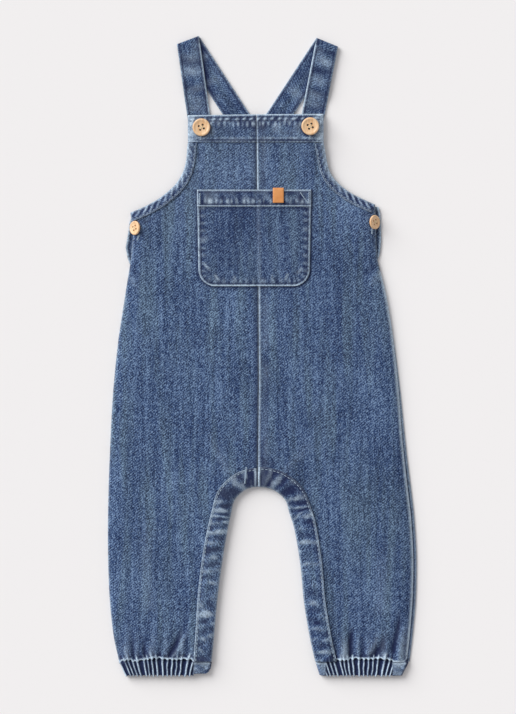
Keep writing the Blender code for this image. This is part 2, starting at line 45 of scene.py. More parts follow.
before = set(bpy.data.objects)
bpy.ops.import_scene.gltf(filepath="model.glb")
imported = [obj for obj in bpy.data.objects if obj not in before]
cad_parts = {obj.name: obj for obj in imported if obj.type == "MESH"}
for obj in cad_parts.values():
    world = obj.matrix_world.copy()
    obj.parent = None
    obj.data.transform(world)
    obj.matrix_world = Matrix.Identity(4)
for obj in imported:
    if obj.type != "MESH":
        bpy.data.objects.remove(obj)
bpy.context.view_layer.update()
LOG = logging.getLogger("dungarees")

MM = 0.001
# The layout's middle, which is the frame's origin
MIDDLE_X = 3.6
MIDDLE_Y = 272.8
SEED = 4
# How many random values a wave and a pattern have before they repeat
WAVE_TABLE = 512
PATCH_TABLE = 128
# A wave texture's own period at a scale of 1
WAVE_PERIOD = 0.314


class Side(Enum):
    """A half of the garment, as it is seen from above."""

    LEFT = -1
    RIGHT = 1

    @property
    def word(self) -> str:
        """The half's name in node names."""
        return self.name.lower()


class Slot(Enum):
    """The record's material slots."""

    DENIM = "denim"
    THREAD = "thread"
    WOOD = "button_wood"
    LEATHER = "tab_leather"


# Numbers in arrays


def bell(distance: Array, width: float) -> Array:
    """A soft bump that is 1 at distance 0 and nearly gone at twice the width."""
    return np.exp(-((distance / width) ** 2))


def smooth(share: Array) -> Array:
    """A share from 0 to 1, eased at both ends."""
    return share * share * (3.0 - 2.0 * share)


def ramp(value: Array, start: float, end: float) -> Array:
    """A soft step from 0 at start to 1 at end."""
    return smooth(np.clip((value - start) / (end - start), 0.0, 1.0))


def ripple(along: Array, pitch: float) -> Array:
    """An even wave along a line, from -1 to 1."""
    return np.sin(2 * np.pi * along / pitch)


def wander(along: Array, spacing: float, seed: int) -> Array:
    """An uneven wave along a line.

    Args:
        along: places along the line, in mm.
        spacing: the usual distance between a high and a low.
        seed: which wave.

    Returns:
        Values from -1 to 1.
    """
    table = np.random.RandomState(SEED + seed).uniform(-1.0, 1.0, WAVE_TABLE)
    t = along / spacing
    cell = np.floor(t).astype(int)
    part = smooth(t - cell)
    return table[cell % WAVE_TABLE] * (1.0 - part) + table[(cell + 1) % WAVE_TABLE] * part


def mottle(x: Array, y: Array, spacing: tuple[float, float], seed: int) -> Array:
    """Uneven patches over a surface.

    Args:
        x: places across, in mm.
        y: places along, in mm.
        spacing: the patches' usual size across and along.
        seed: which pattern.

    Returns:
        Values from -1 to 1.
    """
    table = np.random.RandomState(SEED + seed).uniform(-1.0, 1.0, (PATCH_TABLE, PATCH_TABLE))
    tx, ty = x / spacing[0], y / spacing[1]
    cx, cy = np.floor(tx).astype(int), np.floor(ty).astype(int)
    px, py = smooth(tx - cx), smooth(ty - cy)
    left, right = cx % PATCH_TABLE, (cx + 1) % PATCH_TABLE
    near, far = (table[left, row % PATCH_TABLE] * (1 - px) + table[right, row % PATCH_TABLE] * px
                 for row in (cy, cy + 1))
    return near * (1 - py) + far * py


def measure_to(x: Array, y: Array, line: Array) -> tuple[Array, Array]:
    """The distance from points to a line of straight stretches.

    Args:
        x: the points' x.
        y: the points' y.
        line: the line's points, one a row.

    Returns:
        The distance to the line, and how far along it the nearest place is.
    """
    nearest = np.full(x.shape, np.inf)
    along = np.zeros(x.shape)
    walked = 0.0
    for (ax, ay), (bx, by) in zip(line, line[1:]):
        dx, dy = bx - ax, by - ay
        length = math.hypot(dx, dy)
        if length == 0.0:
            continue
        t = np.clip(((x - ax) * dx + (y - ay) * dy) / length ** 2, 0.0, 1.0)
        distance = np.hypot(x - ax - t * dx, y - ay - t * dy)
        closer = distance < nearest
        nearest[closer] = distance[closer]
        along[closer] = walked + t[closer] * length
        walked += length
    return nearest, along


def stations_of(points: Array) -> Array:
    """How far along a line each of its points lies."""
    return np.concatenate([[0.0], np.cumsum(np.hypot(*np.diff(points, axis=0).T))])


class Path:
    """A line over the flat layout, with its length and its direction to one side."""

    def __init__(self, points: Array, turn: float = 1.0) -> None:
        """Keeps the points and works out the lengths and the side direction.

        Args:
            points: the line's points, one a row.
            turn: 1 for the left-hand side of the line, -1 for its right-hand side.
        """
        self.points = np.asarray(points, dtype=float)
        self.stations = stations_of(self.points)
        self.length = float(self.stations[-1])
        run = np.gradient(self.points, axis=0)
        run /= np.hypot(run[:, 0], run[:, 1])[:, None]
        self.sideways = np.stack([-run[:, 1], run[:, 0]], axis=1) * turn

    def at(self, along: Array,
           aside: Array | float = 0.0) -> tuple[Array, Array]:
        """Points along the line and a distance to its side.

        Args:
            along: distances from the line's start.
            aside: distances to its side.

        Returns:
            The points' x and y.
        """
        x, y, sx, sy = (np.interp(along, self.stations, column)
                        for column in (*self.points.T, *self.sideways.T))
        size = np.hypot(sx, sy)
        return x + sx / size * aside, y + sy / size * aside


# The laid-out cut


class Section(NamedTuple):
    """A line across half the garment: inner end, outer end and how far the back peeks out."""

    in_x: float
    in_y: float
    out_x: float
    out_y: float
    peek: float = 0.0


def sections(*rows: tuple[float, ...]) -> list[Section]:
    """Sections from their bare sizes."""
    return [Section(*row) for row in rows]


CENTRE_SEAM = {"y": (161.5, 250.0, 340.0, 400.0, 480.0), "x": (-0.3, 0.6, 0.2, -0.8, -1.5)}
LEG = {
    Side.LEFT: sections(
        (39.2, 12.8, 117.9, 12.8), (37.1, 34.0, 122.7, 34.0), (34.6, 62.0, 126.0, 64.0),
        (30.9, 92.0, 127.5, 98.0), (26.0, 122.0, 127.7, 130.0), (22.5, 139.0, 127.2, 158.0),
        (19.5, 150.3, 126.7, 174.0), (11.8, 158.3, 126.1, 188.0), (5.2, 161.0, 125.7, 198.0),
        (0.0, 161.5, 125.3, 208.0),
    ),
    Side.RIGHT: sections(
        (48.9, 12.8, 129.0, 12.8, 2.4), (44.0, 35.0, 131.9, 38.0, 2.6),
        (39.3, 64.0, 134.4, 68.0, 2.8), (36.3, 95.0, 134.9, 102.0, 2.8),
        (31.3, 125.0, 133.1, 134.0, 2.8), (27.0, 139.0, 130.9, 154.0, 2.8),
        (23.4, 150.3, 128.8, 171.0, 2.7), (14.6, 158.2, 127.1, 185.0, 2.6),
        (6.6, 161.0, 126.0, 195.0, 2.5), (0.0, 161.5, 124.8, 206.0, 2.4),
    ),
}
BODY = {
    Side.LEFT: sections(
        (0.0, 161.5, 125.3, 208.0), (0.0, 200.0, 123.2, 243.0), (0.0, 250.0, 119.1, 284.0),
        (0.0, 300.0, 113.4, 322.0), (0.0, 338.0, 108.9, 350.0),
    ),
    Side.RIGHT: sections(
        (0.0, 161.5, 124.8, 206.0, 2.4), (0.0, 200.0, 120.8, 245.0, 1.4),
        (0.0, 250.0, 116.0, 283.0, 0.5), (0.0, 300.0, 109.6, 322.0), (0.0, 338.0, 101.8, 354.0),
    ),
}
OPENING = {
    Side.LEFT: sections(
        (0.0, 338.0, 108.9, 350.0), (0.0, 356.0, 107.2, 366.0), (0.0, 368.0, 106.5, 380.0),
        (0.0, 380.0, 108.6, 394.6),
    ),
    Side.RIGHT: sections(
        (0.0, 338.0, 101.8, 354.0), (0.0, 356.0, 100.6, 370.0), (0.0, 370.0, 100.4, 386.0),
        (0.0, 384.0, 99.6, 401.6),
    ),
}
BIB = {
    Side.LEFT: sections(
        (0.0, 380.0, 108.6, 394.6), (0.0, 393.0, 94.2, 401.0), (0.0, 404.0, 81.6, 408.6),
        (0.0, 418.0, 69.3, 420.0), (0.0, 434.0, 62.2, 434.1), (0.0, 454.5, 59.6, 454.5),
        (0.0, 478.2, 59.6, 477.4),
    ),
    Side.RIGHT: sections(
        (0.0, 384.0, 99.6, 401.6), (0.0, 396.0, 86.6, 407.5), (0.0, 406.0, 76.8, 412.9),
        (0.0, 418.0, 67.1, 421.1), (0.0, 432.0, 60.2, 432.0), (0.0, 454.5, 55.8, 454.5),
        (0.0, 478.2, 55.6, 478.6),
    ),
}
BACK_TOP = {
    Side.LEFT: sections(
        (0.0, 339.0, 96.4, 350.8), (0.0, 372.0, 96.0, 392.0), (0.0, 388.0, 70.0, 400.0),
        (0.0, 408.0, 45.0, 414.0), (0.0, 437.0, 33.0, 437.0),
    ),
    Side.RIGHT: sections(
        (0.0, 339.0, 90.4, 354.8), (0.0, 376.0, 90.0, 396.0), (0.0, 392.0, 66.0, 404.0),
        (0.0, 410.0, 43.0, 416.0), (0.0, 437.0, 33.0, 437.0),
    ),
}


def fine_rows(run: list[Section], spacing: float) -> Array:
    """A smooth run of sections, close enough together for creases.

    Args:
        run: the run's own sections.
        spacing: the most that two neighbours may be apart.

    Returns:
        One row a section, with the columns of Section.
    """
    rows = np.array(run, dtype=float)
    rows = np.vstack([2 * rows[0] - rows[1], rows, 2 * rows[-1] - rows[-2]])
    made = []
    for a, b, c, d in zip(rows, rows[1:], rows[2:], rows[3:]):
        reach = max(np.hypot(*(c - b)[:2]), np.hypot(*(c - b)[2:4]))
        count = max(1, math.ceil(reach / spacing))
        t = (np.arange(count) / count)[:, None]
        square, cube = 2 * a - 5 * b + 4 * c - d, 3 * b - a - 3 * c + d
        made.append(0.5 * (2 * b + (c - a) * t + square * t ** 2 + cube * t ** 3))
    made.append(rows[-2][None])
    return np.vstack(made)


@dataclass
class Layout:
    """The garment's flat plan, and how its front lies over its back."""

    spacing: float = 1.4
    seam_gap: float = 0.3
    edge_top: float = 2.3
    crown: float = 3.4
    roll: float = 14.0
    roll_power: float = 0.5
    strap_lift: float = 1.3
    lift_foot: float = 440.0
    lift_ramp: float = 14.0
    button_rise: float = 2.4
    rise_reach: float = 16.92
    free_edges: list[Array] = field(default_factory=list)

    def __post_init__(self) -> None:
        """Works out the front's free edges, from which its height is measured."""
        for side in Side:
            rows = self.front_rows(side, 4.0)
            outer, legs = self.front_outer(side, rows), self.leg_edge(side, 4.0)
            top = np.array([self.inner(side, rows)[-1], outer[-1]])
            foot = np.array([[legs[0, 0], 0.0], [outer[0, 0], 0.0]])
            self.free_edges += [outer, legs, top, foot]

    def join(self, runs: list[list[Section]], spacing: float) -> Array:
        """Fine rows of several runs, with the corners between runs kept sharp."""
        parts = [fine_rows(run, spacing) for run in runs]
        return np.vstack([parts[0], *(part[1:] for part in parts[1:])])

    def front_rows(self, side: Side, spacing: float | None = None) -> Array:
        """The front half's sections, from the leg's foot to the bib's top."""
        runs = [LEG[side], BODY[side], OPENING[side], BIB[side]]
        return self.join(runs, spacing or self.spacing)

    def back_rows(self, side: Side) -> Array:
        """The back half's sections, from the leg's foot to its low bib."""
        body = self.join([LEG[side], BODY[side]], 2 * self.spacing)
        top = [list(pair) for pair in zip(BACK_TOP[side], BACK_TOP[side][1:])]
        return np.vstack([body, self.join(top, 2 * self.spacing)])

    def seam_x(self, y: Array) -> Array:
        """The centre seam's x."""
        return np.interp(y, CENTRE_SEAM["y"], CENTRE_SEAM["x"])

    def inner(self, side: Side, rows: Array) -> Array:
        """The sections' inner ends, by the centre seam or on the leg's edge."""
        away = np.maximum(rows[:, 0], self.seam_gap / 2)
        return np.stack([self.seam_x(rows[:, 1]) + side.value * away, rows[:, 1]], axis=1)

    def front_outer(self, side: Side, rows: Array) -> Array:
        """The sections' outer ends on the front."""
        return np.stack([side.value * (rows[:, 2] - rows[:, 4]), rows[:, 3]], axis=1)

    def back_outer(self, side: Side, rows: Array) -> Array:
        """The sections' outer ends on the back."""
        return np.stack([side.value * rows[:, 2], rows[:, 3]], axis=1)

    def leg_edge(self, side: Side, spacing: float | None = None) -> Array:
        """The inner edge of a leg, from its foot to the centre seam."""
        return self.inner(side, fine_rows(LEG[side], spacing or self.spacing))

    def armhole_edge(self, side: Side) -> Array:
        """The armhole's edge, from the side opening to the foot of the bib's hem."""
        return self.front_outer(side, fine_rows(BIB[side][:-1], self.spacing))

    def edge_distance(self, x: Array, y: Array) -> Array:
        """How far points lie from the front's nearest free edge."""
        return np.min([measure_to(x, y, edge)[0] for edge in self.free_edges], axis=0)

    def front_height(self, x: Array, y: Array) -> Array:
        """The front's outer surface without creases: a crown that rolls down to its edges."""
        t = np.minimum(1.0, self.edge_distance(x, y) / self.roll)
        roll = np.sin(0.5 * np.pi * t) ** self.roll_power
        height = self.edge_top + self.crown * roll
        for button in SIDE_BUTTONS.values():
            inset = x - button.x + math.copysign(button.inset, button.x)
            away = np.hypot(inset, y - button.y)
            height += self.button_rise * roll * bell(away, self.rise_reach)
        return height + self.strap_lift * ramp(y, self.lift_foot, self.lift_foot + self.lift_ramp)


class ButtonPlace(NamedTuple):
    """Where a button sits, and how it is tilted about the length of the garment."""

    x: float
    y: float
    radius: float
    thickness: float
    tilt: float
    inset: float


BIB_BUTTONS = {
    Side.LEFT: ButtonPlace(-48.0, 466.8, 7.5, 2.4, 0.0, 0.0),
    Side.RIGHT: ButtonPlace(44.3, 467.7, 7.5, 2.4, 0.0, 0.0),
}
SIDE_BUTTONS = {
    Side.LEFT: ButtonPlace(-104.6, 381.6, 6.0, 2.0, 45.0, 7.0),
    Side.RIGHT: ButtonPlace(99.2, 386.5, 6.0, 2.0, 45.0, 7.0),
}

# Finishes


def linear(hex_colour: str) -> tuple[float, float, float, float]:
    """An sRGB hex value as linear colour."""
    parts = [int(hex_colour[i:i + 2], 16) / 255 for i in (1, 3, 5)]
    parts = [p / 12.92 if p <= 0.04045 else ((p + 0.055) / 1.055) ** 2.4 for p in parts]
    return (*parts, 1.0)


def set_inputs(tree: Tree, node: bpy.types.Node, inputs: dict) -> None:
    """Gives a node's inputs their values and links.

    Args:
        tree: the material's nodes.
        node: the node.
        inputs: input names or numbers, with a value or an output socket to link.
    """
    for name, value in inputs.items():
        if isinstance(value, Socket):
            tree.links.new(value, node.inputs[name])
        else:
            node.inputs[name].default_value = value


def add_node(tree: Tree, kind: str, settings: dict | None = None,
             inputs: dict | None = None) -> bpy.types.Node:
    """Adds a node with its settings, values and links.

    Args:
        tree: the material's nodes.
        kind: the node's type name.
        settings: attribute names and values.
        inputs: as set_inputs takes them.

    Returns:
        The new node.
    """
    node = tree.nodes.new(kind)
    for name, value in (settings or {}).items():
        setattr(node, name, value)
    set_inputs(tree, node, inputs or {})
    return node


def object_place(tree: Tree) -> Socket:
    """The place on the object itself, in metres."""
    return add_node(tree, "ShaderNodeTexCoord").outputs["Object"]


def mapped(tree: Tree, place: Socket,
           scale: tuple[float, float, float], turn: float = 0.0) -> Socket:
    """The place for a pattern, stretched and turned."""
    return add_node(tree, "ShaderNodeMapping", {}, {
        "Vector": place, "Rotation": (0.0, 0.0, turn), "Scale": scale}).outputs[0]


def noise(tree: Tree, place: Socket, scale: float,
          detail: float) -> Socket:
    """A cloudy pattern's value."""
    return add_node(tree, "ShaderNodeTexNoise", {}, {
        "Vector": place, "Scale": scale, "Detail": detail}).outputs["Fac"]


def maths(tree: Tree, operation: str, *values: float | Socket,
          clamp: bool = False) -> Socket:
    """A sum's result."""
    return add_node(tree, "ShaderNodeMath", {"operation": operation, "use_clamp": clamp},
                    dict(enumerate(values))).outputs[0]


def mixed(tree: Tree, share: Socket,
          below: tuple | Socket, above: tuple,
          blend: str = "MIX") -> Socket:
    """Two colours, mixed by a share of the upper one."""
    return add_node(tree, "ShaderNodeMix", {"data_type": "RGBA", "blend_type": blend},
                    {0: share, 6: below, 7: above}).outputs[2]


def banded(tree: Tree, tone: Socket, low: tuple[float, str],
           middle: tuple[float, str], high: tuple[float, str]) -> Socket:
    """A colour from a band of three, each with the tone that it stands for.

    Args:
        tree: the material's nodes.
        tone: the tone.
        low: the lowest tone and its colour.
        middle: the middle tone and its colour.
        high: the highest tone and its colour.

    Returns:
        The colour.
    """
    node = add_node(tree, "ShaderNodeValToRGB", {}, {"Fac": tone})
    stops = node.color_ramp.elements
    for stop, (position, colour) in zip(stops, (low, high)):
        stop.position, stop.color = position, linear(colour)
    stops.new(middle[0]).color = linear(middle[1])
    return node.outputs[0]


def new_material(name: str) -> tuple[Material, Tree]:
    """A new material and its nodes."""
    material = bpy.data.materials.new(name)
    material.use_nodes = True
    return material, material.node_tree


def finish_shader(tree: Tree, colour: tuple | Socket,
                  height: Socket, bump: tuple[float, float],
                  constants: dict[str, float]) -> None:
    """Gives the shader its colour, bump and constants.

    Args:
        tree: the material's nodes.
        colour: the base colour.
        height: the bump's height.
        bump: the bump's strength, and its depth in mm.
        constants: the values of the shader's other inputs.
    """
    raised = add_node(tree, "ShaderNodeBump", {}, {
        "Strength": bump[0], "Distance": bump[1] * MM, "Height": height})
    set_inputs(tree, tree.nodes["Principled BSDF"],
               {"Base Color": colour, "Normal": raised.outputs[0], **constants})


@dataclass(frozen=True)
class Denim:
    """Washed indigo twill: blue warp over white weft, sewn and then washed with the seams in."""

    name: str = "washed_indigo_twill_denim"
    dark: str = "#0b1a3c"
    mid: str = "#2a436d"
    light: str = "#7d97b9"
    # Grey-green bands along the warp, from uneven dye
    faded: str = "#566a78"
    faded_share: float = 0.4
    faded_width: float = 9.0
    faded_length: float = 90.0
    # The white weft shows where the wash rubbed the ridges
    worn: str = "#c0d4e5"
    # Indigo stays deep in the folds that the wash didn't reach; the same colour also paints shade
    # in troughs, beside seams and round the buttons and the pocket
    deep: str = "#132046"
    # Twill rib: 0.6 mm in the real cloth, drawn at 1.9 mm so that it shows
    twill_pitch: float = 1.9
    twill_angle: float = 52.0
    twill_weight: float = 0.3
    # One warp thread's length on the face: 0.35 x 0.7 mm in the real cloth, drawn a little wider
    speckle_width: float = 0.42
    speckle_length: float = 0.7
    speckle_weight: float = 1.0
    # One warp thread's uneven dye
    thread_width: float = 0.7
    thread_length: float = 14.0
    thread_weight: float = 0.38
    slub_width: float = 3.2
    slub_length: float = 70.0
    slub_weight: float = 0.55
    cloud: float = 46.0
    cloud_weight: float = 0.45
    # How far the speckle breaks up the deep and the worn places
    deep_grain: float = -0.25
    worn_grain: float = 0.8
    roughness: float = 0.88

    def material(self) -> Material:
        """Builds the cloth's twill, speckle, slubs and clouds, its worn ridges, and its deep folds
        with painted shade.
        """
        material, tree = new_material(self.name)
        uv = add_node(tree, "ShaderNodeUVMap", {"uv_map": "cloth"})
        cloth = add_node(tree, "ShaderNodeVectorMath", {"operation": "SCALE"},
                         {0: uv.outputs[0], "Scale": 1 / MM}).outputs[0]
        turned = mapped(tree, cloth, (1.0, 1.0, 1.0), math.radians(self.twill_angle))
        twill = add_node(tree, "ShaderNodeTexWave", {"bands_direction": "X"}, {
            "Vector": turned, "Scale": WAVE_PERIOD / self.twill_pitch, "Distortion": 1.2,
            "Detail": 2.0, "Detail Scale": 3.0}).outputs["Fac"]
        drawn = mapped(tree, cloth, (1 / self.speckle_width, 1 / self.speckle_length, 1.0))
        crossings = add_node(tree, "ShaderNodeTexVoronoi", {"voronoi_dimensions": "2D"},
                             {"Vector": drawn, "Scale": 1.0})
        speckle = add_node(tree, "ShaderNodeSeparateColor", {},
                           {"Color": crossings.outputs["Color"]}).outputs["Red"]
        threads, slub, faded = (
            noise(tree, mapped(tree, cloth, (1 / width, 1 / length, 1.0)), 1.0, 1.0)
            for width, length in ((self.thread_width, self.thread_length),
                                  (self.slub_width, self.slub_length),
                                  (self.faded_width, self.faded_length)))
        cloud = noise(tree, cloth, 1 / self.cloud, 3.0)
        tone = 0.5
        for source, weight in ((twill, self.twill_weight), (speckle, self.speckle_weight),
                               (threads, self.thread_weight), (slub, self.slub_weight),
                               (cloud, self.cloud_weight)):
            centred = maths(tree, "SUBTRACT", source, 0.5)
            tone = maths(tree, "MULTIPLY_ADD", centred, weight, tone)
        woven = banded(tree, tone, (0.0, self.dark), (0.5, self.mid), (1.0, self.light))
        share = add_node(tree, "ShaderNodeMapRange", {}, {
            "Value": faded, "From Min": 0.45, "From Max": 0.68,
            "To Max": self.faded_share}).outputs[0]
        colour = mixed(tree, share, woven, linear(self.faded), "COLOR")
        grain = maths(tree, "SUBTRACT", speckle, 0.5)
        for name, tint, weight in (("deep", self.deep, self.deep_grain),
                                   ("wear", self.worn, self.worn_grain)):
            amount = add_node(tree, "ShaderNodeAttribute", {"attribute_name": name}).outputs["Fac"]
            spread = maths(tree, "MULTIPLY_ADD", grain, weight, 1.0)
            share = maths(tree, "MULTIPLY", amount, spread, clamp=True)
            colour = mixed(tree, share, colour, linear(tint))
        finish_shader(tree, colour, tone, (0.35, 0.25), {
            "Roughness": self.roughness, "Specular IOR Level": 0.25, "Sheen Weight": 0.12,
            "Sheen Roughness": 0.5})
        return material


@dataclass(frozen=True)
class Thread:
    """Spun polyester sewing thread, faded with the cloth: matte, with a fine twist."""

    name: str
    colour: str
    twist_pitch: float = 0.5

    def material(self) -> Material:
        """Builds the thread with its twist as light and dark along it."""
        material, tree = new_material(self.name)
        twist = add_node(tree, "ShaderNodeTexWave", {"bands_direction": "DIAGONAL"}, {
            "Vector": object_place(tree), "Scale": WAVE_PERIOD / (self.twist_pitch * MM),
            "Distortion": 1.0}).outputs["Fac"]
        shade = add_node(tree, "ShaderNodeMapRange", {},
                         {"Value": twist, "To Min": 0.7, "To Max": 1.1})
        colour = add_node(tree, "ShaderNodeVectorMath", {"operation": "SCALE"},
                          {0: linear(self.colour)[:3], "Scale": shade.outputs[0]})
        finish_shader(tree, colour.outputs[0], twist, (0.4, 0.1), {"Roughness": 0.8})
        return material


@dataclass(frozen=True)
class Beech:
    """Turned light wood under thin varnish: fine straight grain and short dark flecks."""

    name: str = "varnished_light_wood"
    pale: str = "#edcba3"
    warm: str = "#e0b486"
    fleck: str = "#c8986a"
    ring_width: float = 1.3

    def material(self) -> Material:
        """Builds the wood with its grain across the button's face."""
        material, tree = new_material(self.name)
        stretched = mapped(tree, object_place(tree), (1 / MM, 0.12 / MM, 1 / MM), 0.6)
        grain = noise(tree, stretched, 1 / self.ring_width, 4.0)
        colour = banded(tree, grain, (0.28, self.fleck), (0.42, self.warm), (0.65, self.pale))
        finish_shader(tree, colour, grain, (0.15, 0.05), {
            "Roughness": 0.42, "Coat Weight": 0.15, "Coat Roughness": 0.3})
        return material


@dataclass(frozen=True)
class Leather:
    """Vegetable-tanned leather, smooth side up: fine pores and a soft sheen."""

    name: str = "tan_vegetable_leather"
    light: str = "#e8a263"
    dark: str = "#c67c3e"
    pore: float = 0.5
    cloud: float = 4.0

    def material(self) -> Material:
        """Builds the leather with pores and a little cloudiness."""
        material, tree = new_material(self.name)
        place = object_place(tree)
        pores = add_node(tree, "ShaderNodeTexVoronoi", {}, {
            "Vector": place, "Scale": 1 / (self.pore * MM)}).outputs["Distance"]
        cloud = noise(tree, place, 1 / (self.cloud * MM), 3.0)
        colour = mixed(tree, cloud, linear(self.dark), linear(self.light))
        finish_shader(tree, colour, pores, (0.3, 0.08), {"Roughness": 0.5})
        return material


# Cloth


@dataclass
class Shaped:
    """A piece of cloth's shape: where its points lie, how worn they are, how dark with deep dye and
    painted shade, its grain.
    """

    x: Array
    y: Array
    z: Array
    wear: Array
    deep: Array
    grain: tuple[Array, Array] | None = None


class Crease(NamedTuple):
    """A soft ridge, or a trough where its height is negative, along a line on the plan.

    Its mark is how worn a ridge is, or how dark a trough is painted: the dye that stayed in it,
    with painted shade.
    """

    line: list[tuple[float, float]]
    width: float
    height: float
    mark: float
    fade: float = 0.4


def press(creases: list[Crease], x: Array,
          y: Array) -> tuple[Array, Array, Array]:
    """Adds up creases.

    Args:
        creases: the creases, each strongest at its line's first point.
        x: the cloth's x.
        y: the cloth's y.

    Returns:
        The height, wear and depth that the creases add.
    """
    height, wear, deep = np.zeros(x.shape), np.zeros(x.shape), np.zeros(x.shape)
    for crease in creases:
        path = Path(crease.line)
        distance, along = measure_to(x, y, path.points)
        share = along / path.length
        strength = bell(distance, crease.width) * (1.0 - ramp(share, crease.fade, 1.0) * 0.97)
        height += crease.height * strength
        # A trough's mark paints its deep dye together with its shade
        marked = wear if crease.height > 0.0 else deep
        marked += crease.mark * bell(distance, 0.75 * crease.width) * strength
    return height, wear, deep


def mesh_of(made: bmesh.types.BMesh, name: str) -> bpy.types.Mesh:
    """Turns a finished shape into a mesh, and frees it."""
    mesh = bpy.data.meshes.new(name)
    made.to_mesh(mesh)
    made.free()
    return mesh


def add_object(name: str, data: bpy.types.ID) -> Object:
    """Adds an object to the scene."""
    item = bpy.data.objects.new(name, data)
    bpy.context.scene.collection.objects.link(item)
    return item


class Workshop:
    """Makes each piece from its shape, dresses it and attaches it to the garment."""

    def __init__(self) -> None:
        """Builds the finishes that every piece shares."""
        self.denim = Denim().material()
        self.thread = Thread("faded_blue_polyester_thread", "#2b3c63").material()
        self.pale_thread = Thread("washed_pale_blue_thread", "#a9bdd0").material()
        self.ecru_thread = Thread("ecru_button_thread", "#efdcb4").material()
        self.wood = Beech().material()
        self.leather = Leather().material()

    def hand_over(self, mesh: bpy.types.Mesh, name: str, finish: Material, slot: Slot,
                  in_cad: bool = True) -> Object:
        """Makes a finished mesh a piece that rides on the garment.

        Args:
            mesh: the mesh, with its place in it.
            name: the piece's name, or its CAD node's.
            finish: its material.
            slot: the record's slot for that material; not used.
            in_cad: True where it stands for the CAD node of that name.

        Returns:
            The piece.
        """
        node = name
        if in_cad:
            name = f"{node}_{finish.name.split('_')[-1]}"
        mesh.name = name
        mesh.materials.clear()
        mesh.materials.append(finish)
        mesh.shade_smooth()
        piece = add_object(name, mesh)
        if in_cad:
            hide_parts(node)
        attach(piece, "root")
        LOG.info("%s: %d faces", name, len(mesh.polygons))
        return piece

    def cloth(self, name: str, columns: int, rows: int,
              shape: Callable[[Array, Array], Shaped], wall: float = 0.9,
              offset: float = -1.0, closed: bool = False,
              finish: Material | None = None,
              slot: Slot = Slot.DENIM) -> Object:
        """Makes a CAD node's cloth from a grid, laid by its shape and given its wall.

        Args:
            name: the node's name.
            columns: how many faces across.
            rows: how many faces along.
            shape: the outer face's shape over 0 to 1 across and along.
            wall: the cloth's thickness.
            offset: -1 for a wall inside the face, 0 for half on each side.
            closed: True where the first and last column are one seam.
            finish: its material, if it isn't denim.
            slot: that material's slot.

        Returns:
            The piece.
        """
        sheet = bmesh.new()
        bmesh.ops.create_grid(sheet, x_segments=columns, y_segments=rows, size=1.0)
        mesh = mesh_of(sheet, name)
        places = np.zeros(len(mesh.vertices) * 3)
        mesh.vertices.foreach_get("co", places)
        across, along = (places.reshape(-1, 3)[:, :2].T + 1.0) / 2.0
        laid = shape(across, along)
        points = np.stack([laid.x - MIDDLE_X, laid.y - MIDDLE_Y, laid.z], axis=1) * MM
        mesh.vertices.foreach_set("co", points.ravel())
        corner = np.zeros(len(mesh.loops), dtype=np.int32)
        mesh.loops.foreach_get("vertex_index", corner)
        grain = np.stack(laid.grain or (laid.x, laid.y), axis=1) * MM
        mesh.uv_layers.new(name="cloth").data.foreach_set("uv", grain[corner].ravel())
        for label, values in (("wear", laid.wear), ("deep", laid.deep)):
            attribute = mesh.attributes.new(label, "FLOAT", "POINT")
            attribute.data.foreach_set("value", np.clip(values, 0.0, 1.0))
        mesh.update()
        self.face_outwards(mesh, closed)
        piece = self.hand_over(mesh, name, finish or self.denim, slot)
        thickness = piece.modifiers.new("wall", "SOLIDIFY")
        thickness.thickness = wall * MM
        thickness.offset = offset
        return piece

    @staticmethod
    def face_outwards(mesh: bpy.types.Mesh, closed: bool) -> None:
        """Turns a sheet's faces up, or closes a tube's seam and turns its faces out."""
        shell = bmesh.new()
        shell.from_mesh(mesh)
        if closed:
            bmesh.ops.remove_doubles(shell, verts=shell.verts, dist=0.01 * MM)
            bmesh.ops.recalc_face_normals(shell, faces=shell.faces)
            top = max(shell.faces, key=lambda face: face.calc_center_median().z)
            turned = top.normal.z < 0
        else:
            turned = sum(face.normal.z * face.calc_area() for face in shell.faces) < 0
        if turned:
            bmesh.ops.reverse_faces(shell, faces=shell.faces)
        shell.to_mesh(mesh)
        shell.free()


def grid_of(inner: Array, outer: Array) -> Callable[[Array, Array], tuple]:
    """Lays a grid between two lines with the same number of points.

    Args:
        inner: the line at 0 across.
        outer: the line at 1 across.

    Returns:
        A function from across and along to x and y.
    """
    place = np.arange(len(inner)) / (len(inner) - 1)

    def at(across: Array, along: Array) -> tuple[Array, Array]:
        """The point at a share across and along."""
        ends = [np.interp(along, place, column) for column in (*inner.T, *outer.T)]
        return ends[0] + (ends[2] - ends[0]) * across, ends[1] + (ends[3] - ends[1]) * across

    return at


